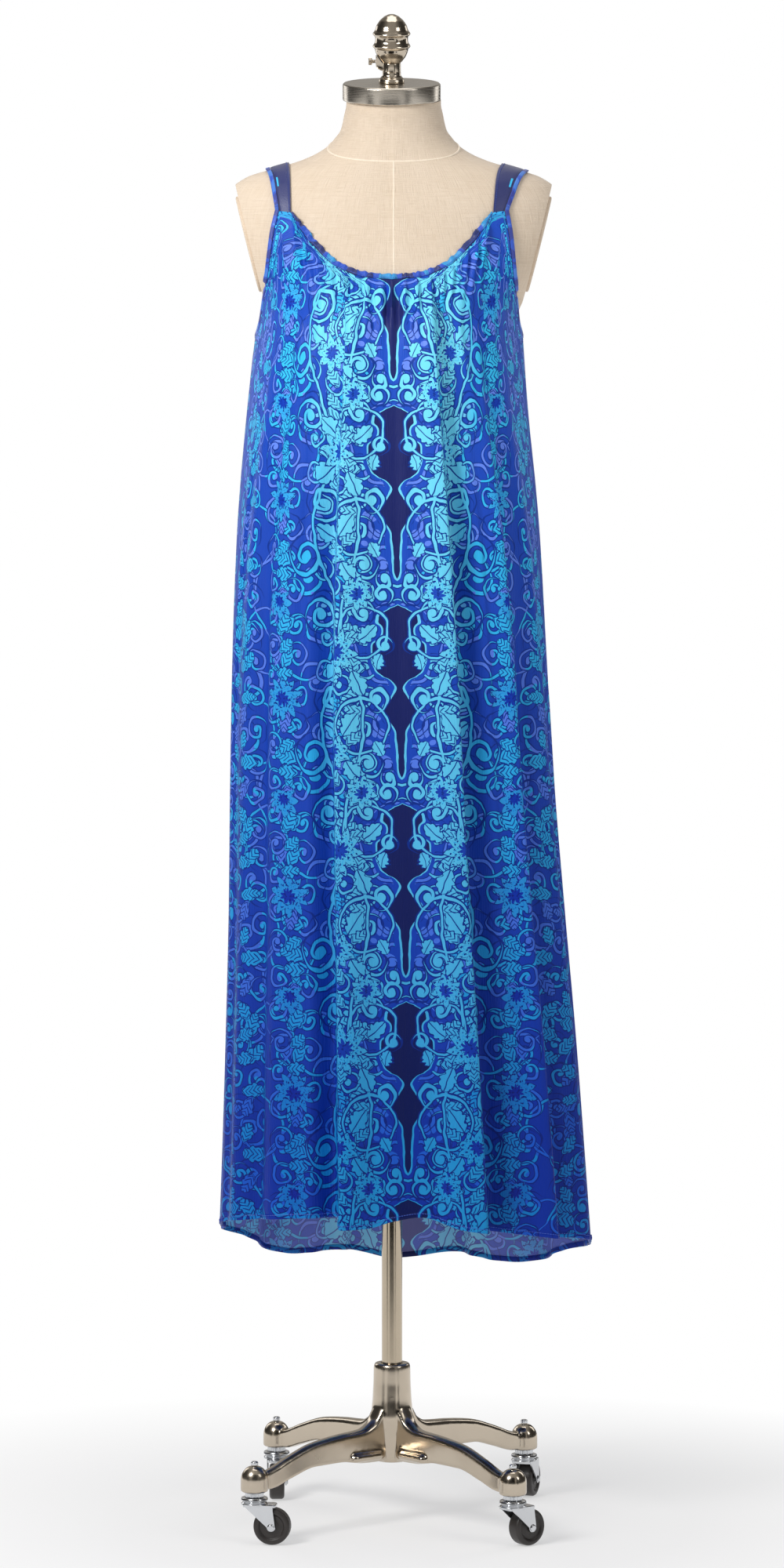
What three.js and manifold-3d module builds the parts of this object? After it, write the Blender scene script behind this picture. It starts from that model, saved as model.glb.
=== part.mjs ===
// A printed satin gown with shoulder straps, worn by a limbless dress form
// on a height-adjustable mast and a cast four-legged caster base.
// Millimetres, +Z up, +X to the viewer's right, the gown's front faces -Y.
// Everything is laid out round the mast's axis at X = Y = 0 with the floor at Z = 0,
// and the whole group is moved at the end so that the middle of its box is over the origin.
import * as THREE from "three";
import { mergeVertices } from "three/addons/utils/BufferGeometryUtils.js";
import Module from "manifold-3d";

const wasm = await Module();
wasm.setup();

const SEAM_GAP = 0.3;
const BOX_MIDDLE_X = 16;
const SAW_SIZE = 400;
const DRILL_PAST = 5;
const degrees = THREE.MathUtils.degToRad;

// Dress form
const FORM_CENTRE_X = 2;
const FORM_BOTTOM_Z = 1012;
const FORM_SIDES = 32;
const ARM_PLATE_TOP_X = 193;
const ARM_PLATE_TOP_Z = 1652;
const ARM_PLATE_LEAN = 0.25;
const ARM_PLATE_THICKNESS = 4;
const ARM_PLATE_EDGE = 1;
const ARM_PLATE_HALF_HEIGHT = 60;
const ARM_PLATE_HALF_WIDTH = 41;
const ARM_PLATE_MIDDLE_Z = 1584;
const BUST_APEX_X = 84;
const BUST_APEX_Z = 1484;
const BUST_OUT = 24;
const BUST_REACH_X = 46;
const BUST_REACH_UP = 62;
const BUST_REACH_DOWN = 50;
const NECK_TILT = degrees(9.6);
const NECK_TOP_X = -0.5;
const NECK_TOP_Y = -5;
const NECK_TOP_Z = 1759;

// Neck cap, collar with its clamp lug, thumb screw and finial. A profile is a list of
// radius and height pairs from the foot up.
const ROUND_SIDES = 24;
const COLLAR_SIDES = 16;
const KNOB_SIDES = 18;
const SCREW_SIDES = 12;
const CAP_RADIUS = 60;
const CAP_HEIGHT = 21;
const CAP_FOOT_EDGE = 1;
const CAP_TOP_EDGE = 1.5;
const COLLAR_HEIGHT = 24.2;
const COLLAR_PROFILE = [[0, 0], [15.6, 0], [15.9, 2], [15.4, 4.6], [12.4, 7.6], [11.3, 9.4],
  [11.2, COLLAR_HEIGHT], [0, COLLAR_HEIGHT]];
const LUG_OUT = 19.4;
const LUG_TOP = 33;
const LUG_ROOT = 9;
const LUG_THICKNESS = 11;
const LUG_CURVE = [[LUG_ROOT, 14.5], [13.4, 15.4], [16.8, 17.4], [18.9, 20], [LUG_OUT, 22.6]];
const SCREW_UP = 26;
const SCREW_PROFILE = [[0, 0], [2, 0], [2, 4.2], [3.6, 4.3], [4.15, 5], [4.15, 8], [3.4, 8.6], [0, 8.6]];
const KNOB_PROFILE = [[0, 0], [11.6, 0], [14.4, 3.6], [17, 6.9], [18.6, 10.2], [20, 14], [20.4, 16.6],
  [23.1, 19.6], [22.9, 21.2], [20.4, 24.8], [20, 28], [20.2, 31.6], [23.1, 34.7], [22.9, 36.3],
  [20.3, 39.6], [18.6, 45.4], [14.5, 51.6], [8.9, 56.5], [0, 59.4]];

// Mast and its socket
const MAST_RADIUS = 12.7;
const MAST_BOTTOM_Z = 84;
const MAST_TOP_Z = 1270;
const MAST_BORE_TOP_Z = 1325;
const MAST_SIDES = 20;
const MAST_EDGE = 1;
const RUNNING_GAP = 0.3;
const SOCKET_HEIGHT = 46;
const SOCKET_RADIUS = 19;
const FLANGE_RADIUS = 34;
const FLANGE_THICKNESS = 5;
const UNDER_PLATE_THICKNESS = 8;
const UNDER_PLATE_RADIUS = 78;

// Cast base
const HUB_TOP_Z = 199;
const HUB_BOTTOM_Z = 76;
const BASE_TURN = degrees(-3.77);
const DOME_DISTANCE = 223;
const DOME_BOTTOM_Z = 64;
const DOME_TOP_Z = 96.5;
const DOME_SIDES = 16;
const DOME_PROFILE = [[0, DOME_BOTTOM_Z], [17, DOME_BOTTOM_Z], [17, 81], [15.4, 87], [11, 93], [6, 95.8],
  [0, DOME_TOP_Z]];
const HUB_PROFILE = [[0, HUB_BOTTOM_Z], [20, HUB_BOTTOM_Z], [21.5, 78], [24, 110], [26.5, 132], [24.4, 152],
  [23.2, 175], [22.6, 197], [21, HUB_TOP_Z], [0, HUB_TOP_Z]];
const LEG_SHOULDER = 0.3;
const LEG_CROWN = 0.6;
const RIB_RADIUS = 8;
const RIB_LENGTH = 36;
const RIB_ALONG = 50;
const RIB_ASIDE = 8;
const RIB_HEIGHT = 87.5;
const RIB_FLATTEN = 0.7;

// Casters
const WHEEL_RADIUS = 22.5;
const WHEEL_WIDTH = 19;
const WHEEL_SIDES = 18;
const WHEEL_TRAIL = 22;
const AXLE_RADIUS = 3;
const FORK_GAP = 1;
const FORK_WALL = 2;
const FORK_TOP_Z = 49.5;
const CROWN_THICKNESS = 3;
const CROWN_BACK_X = -13;
const CROWN_FRONT_X = 27;
const CHEEK_FRONT_X = 23.5;
const CHEEK_EYE_RADIUS = 5.5;
const RACE_PROFILE = [[0, 48.5], [16.4, 48.5], [16.4, 50.5], [14.2, 52.1], [17, 54.5], [16, 57.3], [0, 57.3]];
const RACE_SIDES = 14;
const AXLE_HEAD_RADIUS = 4.6;
const AXLE_HEAD_HEIGHT = 1.6;
const AXLE_SIDES = 10;
const WHEEL_SHOULDER_RADIUS = 18;
const WHEEL_SHOULDER = 2.5;
const WHEEL_HUB_RADIUS = 8;
const WHEEL_HUB_INSET = 1;
const WHEEL_DISH_RADIUS = 15;
const TOOTHED_RING_RADIUS = 11.5;
const TOOTHED_RING_HEIGHT = 6;
const DOME_SCREW_PROFILE = [[0, 0], [4.6, 0], [4.6, 3.4], [3.4, 4.6], [0, 5]];
const DOME_SCREW_SIDES = 8;

// Gown
const CLOTH = 1.6;
const CLOTH_TO_FORM = 1.7;
const UNDERARM_Z = 1468;
const BINDING_WIDTH = 7.5;
const BINDING_THICKNESS = 2.2;
const TRIM_WIDTH = 5.5;
const STRAP_THICKNESS = 2;
const STRAP_FOOT_FRONT_Z = 1622.8;
const STRAP_FOOT_BACK_Z = 1616.8;
const STRAP_STEPS = 14;
const NECK_BINDING_STEPS = 52;
const ARMHOLE_STEPS = 16;
const EDGE_GAP = 0.6;
const EDGE_STEP = 0.012;
const BINDING_RISE = 0.4;
const GATHERS = 18;
const GATHER_DEPTH = 3;
const GATHER_REACH = 95;
const GATHER_FADE = 1.5;
const COLUMN_SPREAD = 560;
const FOLD_TOP_Z = 1538;
const FOLD_END_Z = 400;
const FOLD_GROWTH = 0.8;
const LEAST_SLOPE = 0.45;
const LEAST_FACING = 0.05;
const HALF_COLUMNS = 44;
const NECK_SHARE = 26 / HALF_COLUMNS;
const STRAP_SHARE = 28 / HALF_COLUMNS;

function table(names, rows) {
  return rows.map((row) => Object.fromEntries(names.map((name, i) => [name, row[i]])));
}

// Reads one column of a table at a given key, with a smooth curve through its rows.
function reader(rows, key) {
  return (at, column) => {
    const last = rows.length - 1;
    const falling = rows[0][key] > rows[last][key];
    const place = (i) => (falling ? -rows[i][key] : rows[i][key]);
    const x = THREE.MathUtils.clamp(falling ? -at : at, place(0), place(last));
    let i = 0;
    while (i < last - 1 && place(i + 1) < x) i += 1;
    const width = place(i + 1) - place(i);
    const t = (x - place(i)) / width;
    const value = (k) => rows[THREE.MathUtils.clamp(k, 0, last)][column];
    const slope = (k) => {
      if (k <= 0 || k >= last) return 0;
      const before = (value(k) - value(k - 1)) / (place(k) - place(k - 1));
      const after = (value(k + 1) - value(k)) / (place(k + 1) - place(k));
      return before * after <= 0 ? 0 : (2 * before * after) / (before + after);
    };
    const startSlope = i === 0 ? (value(1) - value(0)) / width : slope(i);
    const endSlope = i + 1 === last ? (value(last) - value(last - 1)) / width : slope(i + 1);
    const t2 = t * t;
    const t3 = t2 * t;
    return (2 * t3 - 3 * t2 + 1) * value(i) + (t3 - 2 * t2 + t) * width * startSlope
      + (3 * t2 - 2 * t3) * value(i + 1) + (t3 - t2) * width * endSlope;
  };
}

function smoothstep(low, high, x) {
  return THREE.MathUtils.smoothstep(x, low, high);
}

// The dress form's level sections: half width, depth to the front and back, and how far
// the section is from an ellipse (2 is an ellipse, more is squarer).
const FORM_LEVELS = table(
  ["z", "half", "front", "back", "square"],
  [
    [1775, 58, 58, 50, 2],
    [1755, 58, 58, 50, 2],
    [1742, 60.5, 58, 51, 2],
    [1723, 65, 59, 54, 2],
    [1713, 72, 60, 57, 2],
    [1704, 80, 61, 60, 2],
    [1694, 95, 62, 64, 2],
    [1685, 116, 64, 68, 1.95],
    [1675, 150, 68, 73, 1.9],
    [1666, 179, 72, 77, 1.85],
    [1652, 198, 78, 83, 1.9],
    [1630, 205, 87, 91, 1.95],
    [1600, 203, 97, 98, 1.95],
    [1570, 194, 106, 103, 1.95],
    [1540, 179, 113, 103, 1.95],
    [1510, 157, 118, 101, 2],
    [1484, 148, 119, 98, 2.1],
    [1450, 142, 116, 92, 2.15],
    [1400, 132, 100, 82, 2.15],
    [1350, 121, 90, 74, 2.1],
    [1310, 117, 88, 70, 2.1],
    [1260, 124, 94, 78, 2.1],
    [1200, 141, 102, 96, 2.15],
    [1140, 158, 108, 112, 2.2],
    [1100, 165, 109, 116, 2.25],
    [1050, 166, 108, 112, 2.25],
    [1012, 163, 105, 106, 2.25],
  ],
);
const formLevel = reader(FORM_LEVELS, "z");

function bust(x, z) {
  const across = (Math.abs(x) - BUST_APEX_X) / BUST_REACH_X;
  const up = (z - BUST_APEX_Z) / (z > BUST_APEX_Z ? BUST_REACH_UP : BUST_REACH_DOWN);
  return BUST_OUT * Math.exp(-across * across - up * up);
}

// Depth of the form's skin at a level, for a distance across from its middle.
function formDepth(x, z, toFront) {
  const square = formLevel(z, "square");
  const share = Math.min(Math.abs(x) / formLevel(z, "half"), 1);
  const round = Math.pow(1 - Math.pow(share, square), 1 / square);
  if (!toFront) return formLevel(z, "back") * round;
  return formLevel(z, "front") * round + bust(x, z) * Math.min(1, round * 2);
}

// Mesh helpers. A closed mesh is built from rows of points; two rows with the same
// number of points are joined by quads, and rows of n and 2n - 1 points by fans.
class Builder {
  constructor() {
    this.points = [];
    this.faces = [];
  }

  row(points) {
    const start = this.points.length;
    this.points.push(...points);
    return points.map((point, i) => start + i);
  }

  quad(a, b, c, d) {
    const p = this.points;
    if (p[a].distanceToSquared(p[c]) <= p[b].distanceToSquared(p[d])) {
      this.faces.push([a, b, c], [a, c, d]);
    } else {
      this.faces.push([a, b, d], [b, c, d]);
    }
  }

  band(upper, lower) {
    if (upper.length === lower.length) {
      for (let i = 0; i + 1 < upper.length; i += 1) {
        this.quad(upper[i], lower[i], lower[i + 1], upper[i + 1]);
      }
      return;
    }
    for (let i = 0; i + 1 < lower.length; i += 1) {
      const left = upper[2 * i];
      const middle = upper[2 * i + 1];
      const right = upper[2 * i + 2];
      this.faces.push([left, lower[i], middle], [middle, lower[i], lower[i + 1]]);
      this.faces.push([middle, lower[i + 1], right]);
    }
  }

  fan(ring, centre) {
    const middle = this.row([centre])[0];
    ring.forEach((point, i) => this.faces.push([middle, point, ring[(i + 1) % ring.length]]));
  }

  geometry() {
    let volume = 0;
    for (const [a, b, c] of this.faces) {
      const p = this.points;
      volume += p[a].dot(new THREE.Vector3().crossVectors(p[b], p[c]));
    }
    const order = volume > 0 ? [0, 1, 2] : [0, 2, 1];
    const geometry = new THREE.BufferGeometry();
    geometry.setAttribute("position",
      new THREE.Float32BufferAttribute(this.points.flatMap((p) => [p.x, p.y, p.z]), 3));
    geometry.setIndex(this.faces.flatMap((face) => order.map((k) => face[k])));
    return geometry;
  }
}

// A solid through closed section rings, with flat ends.
function loft(rings) {
  const builder = new Builder();
  const rows = rings.map((ring) => builder.row(ring));
  for (let i = 0; i + 1 < rows.length; i += 1) {
    builder.band([...rows[i], rows[i][0]], [...rows[i + 1], rows[i + 1][0]]);
  }
  const centre = (ring) => ring.reduce((sum, p) => sum.add(p), new THREE.Vector3())
    .divideScalar(ring.length);
  builder.fan(rows[0], centre(rings[0]));
  builder.fan([...rows[rows.length - 1]].reverse(), centre(rings[rings.length - 1]));
  return builder.geometry();
}

// A strip that closes on itself, through section rings.
function loopLoft(rings) {
  const builder = new Builder();
  const rows = rings.map((ring) => builder.row(ring));
  rows.forEach((row, i) => {
    const next = rows[(i + 1) % rows.length];
    builder.band([...row, row[0]], [...next, next[0]]);
  });
  return builder.geometry();
}

// A cloth wall between an outer and an inner grid of points.
function wall(outerRows, innerRows) {
  const builder = new Builder();
  const outer = outerRows.map((row) => builder.row(row));
  const inner = innerRows.map((row) => builder.row(row));
  const last = outer.length - 1;
  for (let i = 0; i < last; i += 1) {
    builder.band(outer[i], outer[i + 1]);
    const flipped = new Builder();
    flipped.points = builder.points;
    flipped.band(inner[i], inner[i + 1]);
    builder.faces.push(...flipped.faces.map(([a, b, c]) => [a, c, b]));
  }
  builder.band(inner[0], outer[0]);
  builder.band(outer[last], inner[last]);
  const left = (rows) => rows.map((row) => row[0]);
  const right = (rows) => rows.map((row) => row[row.length - 1]);
  builder.band(left(outer), left(inner));
  builder.band(right(inner), right(outer));
  return builder.geometry();
}

function toSolid(geometry) {
  const bare = geometry.clone();
  bare.deleteAttribute("normal");
  bare.deleteAttribute("uv");
  const merged = mergeVertices(bare, 1e-4);
  return new wasm.Manifold(new wasm.Mesh({
    numProp: 3,
    vertProperties: new Float32Array(merged.attributes.position.array),
    triVerts: new Uint32Array(merged.index.array),
  }));
}

function toGeometry(solid) {
  const mesh = solid.getMesh();
  const geometry = new THREE.BufferGeometry();
  geometry.setAttribute("position", new THREE.BufferAttribute(mesh.vertProperties, 3));
  geometry.setIndex(new THREE.BufferAttribute(mesh.triVerts, 1));
  return geometry;
}

// A body of revolution about +Z from a short profile of radius and height.
function turned(profile, sides = ROUND_SIDES) {
  const points = profile.map(([radius, height]) => new THREE.Vector2(radius, height));
  return new THREE.LatheGeometry(points, sides).rotateX(Math.PI / 2);
}

const mastHole = MAST_RADIUS + RUNNING_GAP;

function mastDrill(low, high) {
  return turned([[0, low], [mastHole, low], [mastHole, high], [0, high]], MAST_SIDES);
}

function finish(color, roughness, metalness) {
  return new THREE.MeshStandardMaterial({ color, roughness, metalness });
}

const FINISHES = {
  satin: ["#2b3fae", 0.4, 0],
  binding: ["#2f3a94", 0.5, 0],
  navyStrap: ["#27245a", 0.5, 0],
  linen: ["#e6d6bd", 0.9, 0],
  brushedNickel: ["#b8b2a8", 0.35, 1],
  polishedCasting: ["#b3a896", 0.2, 1],
  zincPlate: ["#c9cbcd", 0.3, 1],
  blackRubber: ["#2b2726", 0.6, 0],
  board: ["#6d5236", 0.8, 0],
};

const group = new THREE.Group();

function add(name, geometry, look, parent = group) {
  const mesh = new THREE.Mesh(geometry, finish(...FINISHES[look]));
  mesh.name = name;
  parent.add(mesh);
  return mesh;
}

// Dress form torso: level sections from the bottom board to the neck, with the neck's top
// and the two arm openings cut flat.
function formRing(z) {
  const half = formLevel(z, "half");
  return Array.from({ length: FORM_SIDES }, (unused, i) => {
    const angle = (i / FORM_SIDES) * 2 * Math.PI;
    const square = formLevel(z, "square");
    const across = Math.sin(angle);
    const x = half * Math.sign(across) * Math.pow(Math.abs(across), 2 / square);
    const toFront = Math.cos(angle) > 0;
    const depth = Math.abs(Math.cos(angle)) < 1e-9 ? 0 : formDepth(x, z, toFront);
    return new THREE.Vector3(FORM_CENTRE_X + x, toFront ? -depth : depth, z);
  });
}

const NECK_FRAME = new THREE.Matrix4().makeRotationX(NECK_TILT)
  .setPosition(NECK_TOP_X, NECK_TOP_Y, NECK_TOP_Z);

function buildTorso() {
  const levels = [FORM_BOTTOM_Z, 1060, 1110, 1160, 1210, 1260, 1310, 1360, 1410, 1448, 1484, 1510, 1535,
    1560, 1590, 1618, 1638, 1652, 1662, 1670, 1676, 1682, 1689, 1697, 1706, 1720, 1740, 1775];
  let torso = toSolid(loft(levels.map(formRing)));
  const aboveNeck = new THREE.BoxGeometry(SAW_SIZE, SAW_SIZE, SAW_SIZE).translate(0, 0, SAW_SIZE / 2);
  torso = torso.subtract(toSolid(aboveNeck.applyMatrix4(NECK_FRAME)));
  for (const side of [-1, 1]) {
    const beyondArm = new THREE.BoxGeometry(SAW_SIZE, SAW_SIZE, SAW_SIZE).translate(SAW_SIZE / 2, 0, 0);
    torso = torso.subtract(toSolid(beyondArm.applyMatrix4(armPlateFrame(side))));
  }
  return toGeometry(torso.subtract(toSolid(mastDrill(FORM_BOTTOM_Z - DRILL_PAST, MAST_BORE_TOP_Z))));
}

// A frame whose +X points out of the arm plate and whose origin is in the cut's middle.
function armPlateFrame(side) {
  const lean = Math.atan(ARM_PLATE_LEAN);
  const x = ARM_PLATE_TOP_X - (ARM_PLATE_TOP_Z - ARM_PLATE_MIDDLE_Z) * ARM_PLATE_LEAN;
  const frame = new THREE.Matrix4().makeRotationZ(side < 0 ? Math.PI : 0);
  frame.multiply(new THREE.Matrix4().makeRotationY(lean));
  return frame.setPosition(FORM_CENTRE_X + side * x, 0, ARM_PLATE_MIDDLE_Z);
}

function buildArmPlate(side) {
  const outline = new THREE.Shape();
  outline.absellipse(0, 0, ARM_PLATE_HALF_WIDTH, ARM_PLATE_HALF_HEIGHT, 0, 2 * Math.PI);
  const plate = new THREE.ExtrudeGeometry(outline, {
    depth: ARM_PLATE_THICKNESS - ARM_PLATE_EDGE,
    curveSegments: 9,
    bevelThickness: ARM_PLATE_EDGE,
    bevelSize: ARM_PLATE_EDGE,
    bevelSegments: 1,
    bevelOffset: -ARM_PLATE_EDGE,
  });
  plate.translate(0, 0, SEAM_GAP + ARM_PLATE_EDGE);
  plate.rotateZ(Math.PI / 2);
  plate.rotateY(Math.PI / 2);
  return plate.applyMatrix4(armPlateFrame(side));
}

add("form_torso", buildTorso(), "linen");
add("arm_plate_left", buildArmPlate(-1), "linen");
add("arm_plate_right", buildArmPlate(1), "linen");

// The clamp lug is a tongue on the collar's left that rises beside the finial's bowl.
function buildCollar() {
  const outline = new THREE.Shape([...LUG_CURVE, [LUG_OUT, LUG_TOP], [LUG_ROOT, LUG_TOP]]
    .map(([out, up]) => new THREE.Vector2(-out, up)));
  const lug = new THREE.ExtrudeGeometry(outline, { depth: LUG_THICKNESS, bevelEnabled: false })
    .rotateX(Math.PI / 2).translate(0, LUG_THICKNESS / 2, 0);
  const bowlRoom = turned(KNOB_PROFILE.map(([radius, up]) => [radius > 0 ? radius + SEAM_GAP : 0, up]), KNOB_SIDES)
    .translate(0, 0, COLLAR_HEIGHT);
  const clearLug = toSolid(lug).subtract(toSolid(bowlRoom));
  return toGeometry(toSolid(turned(COLLAR_PROFILE, COLLAR_SIDES)).add(clearLug));
}

// Neck cap, collar, thumb screw and ribbed finial, all square to the neck's tilted top.
function addNeckTop() {
  const top = new THREE.Group();
  top.name = "neck_top";
  NECK_FRAME.decompose(top.position, top.quaternion, top.scale);
  group.add(top);
  const cap = turned([[0, 0], [CAP_RADIUS - CAP_FOOT_EDGE, 0], [CAP_RADIUS, CAP_FOOT_EDGE],
    [CAP_RADIUS, CAP_HEIGHT - CAP_TOP_EDGE], [CAP_RADIUS - CAP_TOP_EDGE, CAP_HEIGHT], [0, CAP_HEIGHT]]);
  add("neck_cap", cap, "brushedNickel", top).position.z = SEAM_GAP;
  const collarBase = CAP_HEIGHT + 2 * SEAM_GAP;
  add("finial_collar", buildCollar(), "polishedCasting", top).position.z = collarBase;
  const screw = turned(SCREW_PROFILE, SCREW_SIDES).rotateY(-Math.PI / 2)
    .translate(-LUG_OUT - SEAM_GAP, 0, SCREW_UP);
  add("thumb_screw", screw, "polishedCasting", top).position.z = collarBase;
  add("finial", turned(KNOB_PROFILE, KNOB_SIDES), "polishedCasting", top)
    .position.z = collarBase + COLLAR_HEIGHT + SEAM_GAP;
}
addNeckTop();

// Mast, its socket under the form, and the board that closes the form's underside. The form
// slides on the mast, which turns in the hub.
const plateTop = FORM_BOTTOM_Z - SEAM_GAP;
const plateBottom = plateTop - UNDER_PLATE_THICKNESS;
const socketTop = plateBottom - SEAM_GAP;
const socketBottom = socketTop - SOCKET_HEIGHT;
const flangeBottom = socketTop - FLANGE_THICKNESS;
add("under_plate", turned([[mastHole, plateBottom], [UNDER_PLATE_RADIUS, plateBottom],
  [UNDER_PLATE_RADIUS, plateTop], [mastHole, plateTop], [mastHole, plateBottom]], MAST_SIDES), "board");
add("mast_socket", turned([[mastHole, socketBottom], [SOCKET_RADIUS - 1, socketBottom],
  [SOCKET_RADIUS, socketBottom + 2], [SOCKET_RADIUS, flangeBottom - 1], [FLANGE_RADIUS, flangeBottom],
  [FLANGE_RADIUS, socketTop], [mastHole, socketTop], [mastHole, socketBottom]], MAST_SIDES), "brushedNickel");
add("mast", turned([[0, MAST_BOTTOM_Z], [MAST_RADIUS - MAST_EDGE, MAST_BOTTOM_Z],
  [MAST_RADIUS, MAST_BOTTOM_Z + MAST_EDGE], [MAST_RADIUS, MAST_TOP_Z - MAST_EDGE],
  [MAST_RADIUS - MAST_EDGE, MAST_TOP_Z], [0, MAST_TOP_Z]], MAST_SIDES), "brushedNickel");

// Cast base: a bored hub and four arched legs that end in domes.
const LEG_STATIONS = table(
  ["along", "top", "bottom", "width"],
  [
    [8, 158, 80, 22],
    [24, 146, 79, 23],
    [35, 130, 79, 22],
    [54, 121, 79.5, 20],
    [90, 118.5, 84.5, 18],
    [130, 113.5, 84, 17],
    [170, 101, 74, 16],
    [198, 90, 65.5, 15],
    [214, 86, 64.5, 14],
  ],
);

function legSection({ along, top, bottom, width }) {
  const half = width / 2;
  const round = LEG_SHOULDER * width;
  const crown = half * LEG_CROWN;
  const outline = [[-half + 1, bottom], [half - 1, bottom], [half, top - round], [crown, top - round * 0.2],
    [-crown, top - round * 0.2], [-half, top - round]];
  return outline.map(([across, up]) => new THREE.Vector3(along, across, up));
}

function legAngle(corner) {
  return BASE_TURN + degrees(45 + 90 * corner);
}

function buildBase() {
  let base = toSolid(turned(HUB_PROFILE));
  const rib = new THREE.CapsuleGeometry(RIB_RADIUS, RIB_LENGTH, 2, 6).rotateZ(Math.PI / 2).scale(1, RIB_FLATTEN, 1);
  for (let corner = 0; corner < 4; corner += 1) {
    const dome = turned(DOME_PROFILE, DOME_SIDES).translate(DOME_DISTANCE, 0, 0);
    const pieces = [loft(LEG_STATIONS.map(legSection)), dome];
    for (const side of [-1, 1]) {
      pieces.push(rib.clone().translate(RIB_ALONG, side * RIB_ASIDE, RIB_HEIGHT));
    }
    for (const piece of pieces) {
      base = base.add(toSolid(piece.rotateZ(legAngle(corner))));
    }
  }
  const drill = mastDrill(HUB_BOTTOM_Z - DRILL_PAST, HUB_TOP_Z + DRILL_PAST);
  return toGeometry(base.subtract(toSolid(drill)));
}
add("hub_and_legs", buildBase(), "polishedCasting");

// Casters, one under each dome: name, corner of the base, and the way its wheel trails.
const CASTERS = table(
  ["name", "corner", "trail"],
  [
    ["back_right", 0, 72],
    ["back_left", 1, -88],
    ["front_left", 2, -8],
    ["front_right", 3, 39],
  ],
);

// A pressed fork: a crown plate, two cheeks that narrow to the axle's eye, and the ball race.
function buildFork() {
  const inner = WHEEL_WIDTH / 2 + FORK_GAP;
  const eyeUp = WHEEL_RADIUS - FORK_TOP_Z;
  const cheek = new THREE.Shape();
  cheek.moveTo(CROWN_BACK_X, 0);
  cheek.lineTo(CHEEK_FRONT_X, 0);
  cheek.lineTo(WHEEL_TRAIL + CHEEK_EYE_RADIUS, eyeUp);
  cheek.absarc(WHEEL_TRAIL, eyeUp, CHEEK_EYE_RADIUS, 0, -Math.PI, true);
  cheek.closePath();
  const crown = new THREE.BoxGeometry(CROWN_FRONT_X - CROWN_BACK_X, 2 * (inner + FORK_WALL), CROWN_THICKNESS)
    .translate((CROWN_FRONT_X + CROWN_BACK_X) / 2, 0, FORK_TOP_Z - CROWN_THICKNESS / 2);
  let fork = toSolid(crown);
  for (const side of [-1, 1]) {
    const wallGeometry = new THREE.ExtrudeGeometry(cheek, {
      depth: FORK_WALL, bevelEnabled: false, curveSegments: 6 });
    wallGeometry.rotateX(Math.PI / 2);
    wallGeometry.translate(0, side > 0 ? inner + FORK_WALL : -inner, FORK_TOP_Z);
    fork = fork.add(toSolid(wallGeometry));
  }
  fork = fork.add(toSolid(turned(RACE_PROFILE, RACE_SIDES)));
  const holeRadius = AXLE_RADIUS + SEAM_GAP;
  const holeLength = 2 * (inner + FORK_WALL + DRILL_PAST);
  const hole = new THREE.CylinderGeometry(holeRadius, holeRadius, holeLength, AXLE_SIDES)
    .translate(WHEEL_TRAIL, 0, WHEEL_RADIUS);
  return toGeometry(fork.subtract(toSolid(hole)));
}

function buildWheel() {
  const half = WHEEL_WIDTH / 2;
  const bore = AXLE_RADIUS + RUNNING_GAP;
  const tread = WHEEL_RADIUS / Math.cos(Math.PI / WHEEL_SIDES);
  const face = half - WHEEL_HUB_INSET;
  const dish = half - WHEEL_SHOULDER;
  const profile = [[bore, -face], [WHEEL_HUB_RADIUS, -face], [WHEEL_DISH_RADIUS, -dish],
    [WHEEL_SHOULDER_RADIUS, -half], [tread, -dish], [tread, dish], [WHEEL_SHOULDER_RADIUS, half],
    [WHEEL_DISH_RADIUS, dish], [WHEEL_HUB_RADIUS, face], [bore, face], [bore, -face]];
  return turned(profile, WHEEL_SIDES).rotateZ(Math.PI / WHEEL_SIDES).rotateX(Math.PI / 2);
}

function buildAxle() {
  const end = WHEEL_WIDTH / 2 + FORK_GAP + FORK_WALL + SEAM_GAP;
  const tip = end + AXLE_HEAD_HEIGHT;
  const rim = AXLE_HEAD_RADIUS - 0.4;
  const profile = [[0, -tip], [rim, -end - 1], [AXLE_HEAD_RADIUS, -end], [AXLE_RADIUS, -end], [AXLE_RADIUS, end],
    [AXLE_HEAD_RADIUS, end], [rim, end + 1], [0, tip]];
  return turned(profile, AXLE_SIDES).rotateX(Math.PI / 2);
}

for (const { name, corner, trail } of CASTERS) {
  const leg = new THREE.Group();
  leg.name = `leg_${name}`;
  leg.rotation.z = legAngle(corner);
  const mount = new THREE.Group();
  mount.name = `caster_${name}`;
  mount.position.x = DOME_DISTANCE;
  mount.rotation.z = degrees(trail) - legAngle(corner);
  leg.add(mount);
  group.add(leg);
  add(`dome_screw_${name}`, turned(DOME_SCREW_PROFILE, DOME_SCREW_SIDES), "zincPlate", mount)
    .position.z = DOME_TOP_Z + SEAM_GAP;
  const toothedRing = turned([[0, 0], [TOOTHED_RING_RADIUS, 0], [TOOTHED_RING_RADIUS, TOOTHED_RING_HEIGHT],
    [0, TOOTHED_RING_HEIGHT]], 12);
  add(`toothed_ring_${name}`, toothedRing, "zincPlate", mount)
    .position.z = DOME_BOTTOM_Z - TOOTHED_RING_HEIGHT - SEAM_GAP;
  add(`caster_fork_${name}`, buildFork(), "zincPlate", mount);
  add(`caster_wheel_${name}`, buildWheel(), "blackRubber", mount).position
    .set(WHEEL_TRAIL, 0, WHEEL_RADIUS);
  add(`caster_axle_${name}`, buildAxle(), "zincPlate", mount).position
    .set(WHEEL_TRAIL, 0, WHEEL_RADIUS);
}

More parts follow.
